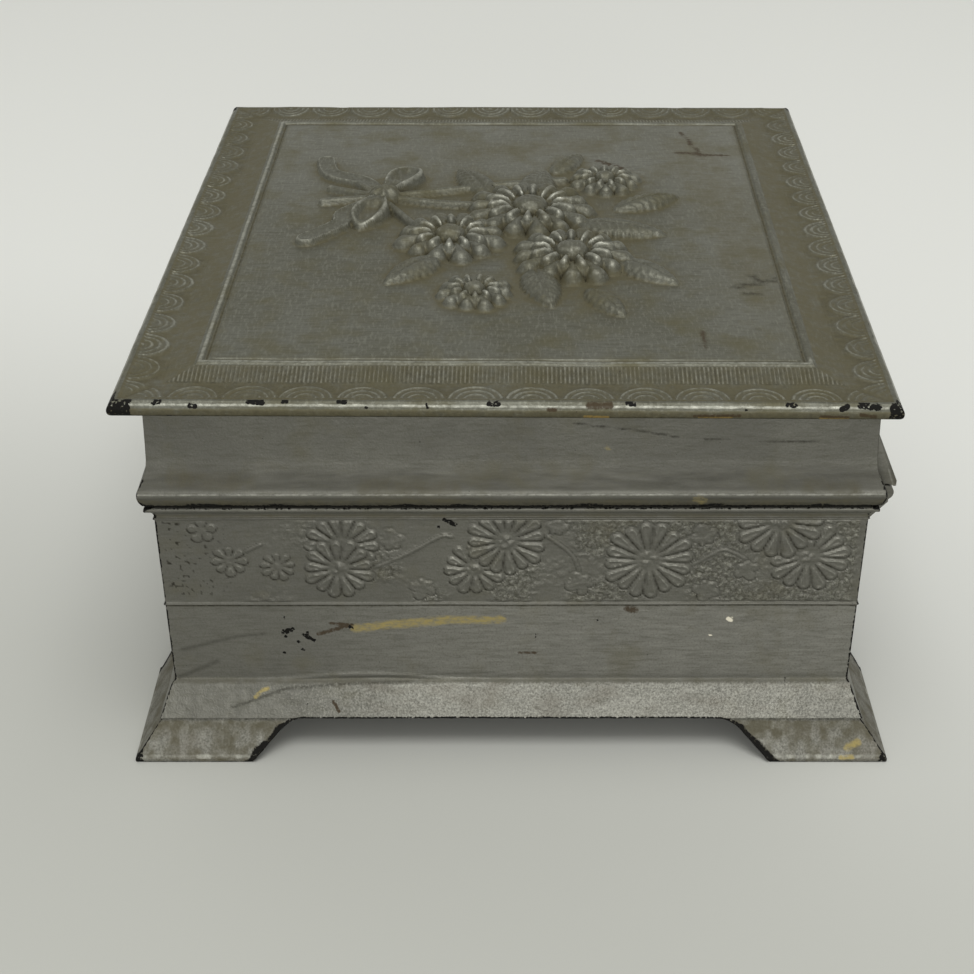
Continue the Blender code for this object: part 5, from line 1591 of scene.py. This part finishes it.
def mask_border(mesh):
    """Dirt between the scallops and flutes with painted shade in the flutes, worn tops with painted
    highlights on the frame, lip and flutes, and chips along the slab's edge.
    """
    x, y, z = (read_places(mesh) / MM).T
    in_x, in_y = WIDTH / 2 - np.abs(x), DEPTH / 2 - np.abs(y)
    inset = np.minimum(in_x, in_y)
    by_side = in_x < in_y
    right_edge = (x > WIDTH / 2 - 1.1) & by_side
    marks = mark_masks(y, z, EDGE_MARKS, right_edge)
    top = z > 55.0
    lift = z - np.interp(inset, *np.transpose(BORDER_FACE))
    in_scallops = top & (inset > LIP) & (inset < SLOPE_FROM)
    on_slope = top & (inset > SLOPE_FROM) & (inset < SLOPE_TO)
    flute = np.cos(2 * math.pi * y / FLUTE_PITCH)

    hollow = np.where(in_scallops, 0.95 - 2.4 * np.clip(lift, 0, 0.3), 0)
    hollow += np.where(on_slope, 0.85 - 0.2 * by_side, 0)
    hollow += (bell(inset, PANEL_DITCH, 0.25) + 0.4 * bell(inset, 1.5, 0.2)) * top
    # Darker on the slab's edge below the lip.
    hollow += (inset < 0.6) * (1 - rise(z, 55.05, 55.35))
    groove = np.where(in_scallops, 0.34 * rise(-lift, -0.07, 0.02), 0)
    groove += 0.7 * bell(inset, PANEL_DITCH, 0.16) * top
    # Flute troughs painted darker, as shade.
    groove += np.where(on_slope & by_side, 0.5 * rise(-flute, -0.1, 0.8), 0)
    # Darker towards the bottom of the slab's edge, with a dark line along its lower edge.
    groove += (inset < 0.6) * (0.38 * (1 - rise(z, 54.9, 55.25)) + bell(z, 53.95, 0.2))

    # Painted highlight along the frame's ridge, stronger on its near side and its -y side, and a painted
    # highlight along the lip.
    frame_wear = np.where((x > WIDTH / 2 - 12) | (y < 12 - DEPTH / 2), 0.8, 0.35)
    rubbed = np.where(in_scallops, 0.55 * rise(lift, 0.12, 0.26), 0)
    rubbed += bell(inset, FRAME_RIDGE, 0.3) * top * frame_wear + 0.95 * bell(z, 55.58, 0.16) * (inset < 0.9)
    # Flute crests lighter: wear with a painted highlight.
    rubbed += np.where(on_slope & by_side, 0.52 * rise(flute, 0.0, 0.9), 0)
    chip = 0.62 * bell(z, 55.85, 0.25) * (inset < 0.9) + 0.60 * bell(z, 53.95, 0.2) * (inset < 0.7)
    chip *= ~right_edge
    corner = np.hypot(np.clip(in_x, 0, None), np.clip(in_y, 0, None))
    chip += 1.2 * (1 - rise(corner, 1.2, 2.6)) * (inset < 1.0)
    near_left = np.hypot(x - WIDTH / 2, y + DEPTH / 2)
    chip += 1.6 * (1 - rise(near_left, 2.4, 3.6)) * (inset < 0.9)
    paint_mask(mesh, hollow=hollow, groove=groove, rubbed=rubbed, chip=np.maximum(chip, marks["chip"]),
               rust=marks["rust"], gilt=marks["gilt"])


def border_mesh():
    """The four sides of the slab's edge as one ring, cut finest on the side that the photo shows."""
    ring = bmesh.new()
    out, z = border_outline.T
    lip = np.flatnonzero((out > -LIP) & (z > Z_EDGE_FROM))
    ornament = np.flatnonzero(top_rows & (out < -LIP) & (out > -6.0))
    slope = np.flatnonzero(top_rows & (out <= -6.0) & (out > -9.7))
    for side in SIDES:
        cuts = [(lip.min(), lip.max(), 1), (ornament.min(), ornament.max(), 3)]
        if side == "right":
            cuts = [(lip.min(), ornament.max(), 5)]
        if side in ("right", "left"):
            cuts.append((slope.min(), slope.max(), 7))
        part = bend_ribbon("border_side", side, border_outline, 2 * FLUTE_PITCH, cuts,
                           shape_border(side), 0)
        ring.from_mesh(part)
        bpy.data.meshes.remove(part)
    mesh = to_mesh(ring, "border")
    close_mesh(mesh)
    return mesh


border = border_mesh()
mask_border(border)
set_askew(border)
shade(border, 60)
add_piece("lid_border_relief", border, "lid", lid_paint, ("lid_top_plate",))


# Lid pad: velvet over wadding, glued up against the slab inside the skirts, so that its crown
# hangs down into the box.
lid_cushion = add_piece("lid_cushion", pad_mesh("lid_pad", -1), "lid", velvet,
                        ("lid_pad",))
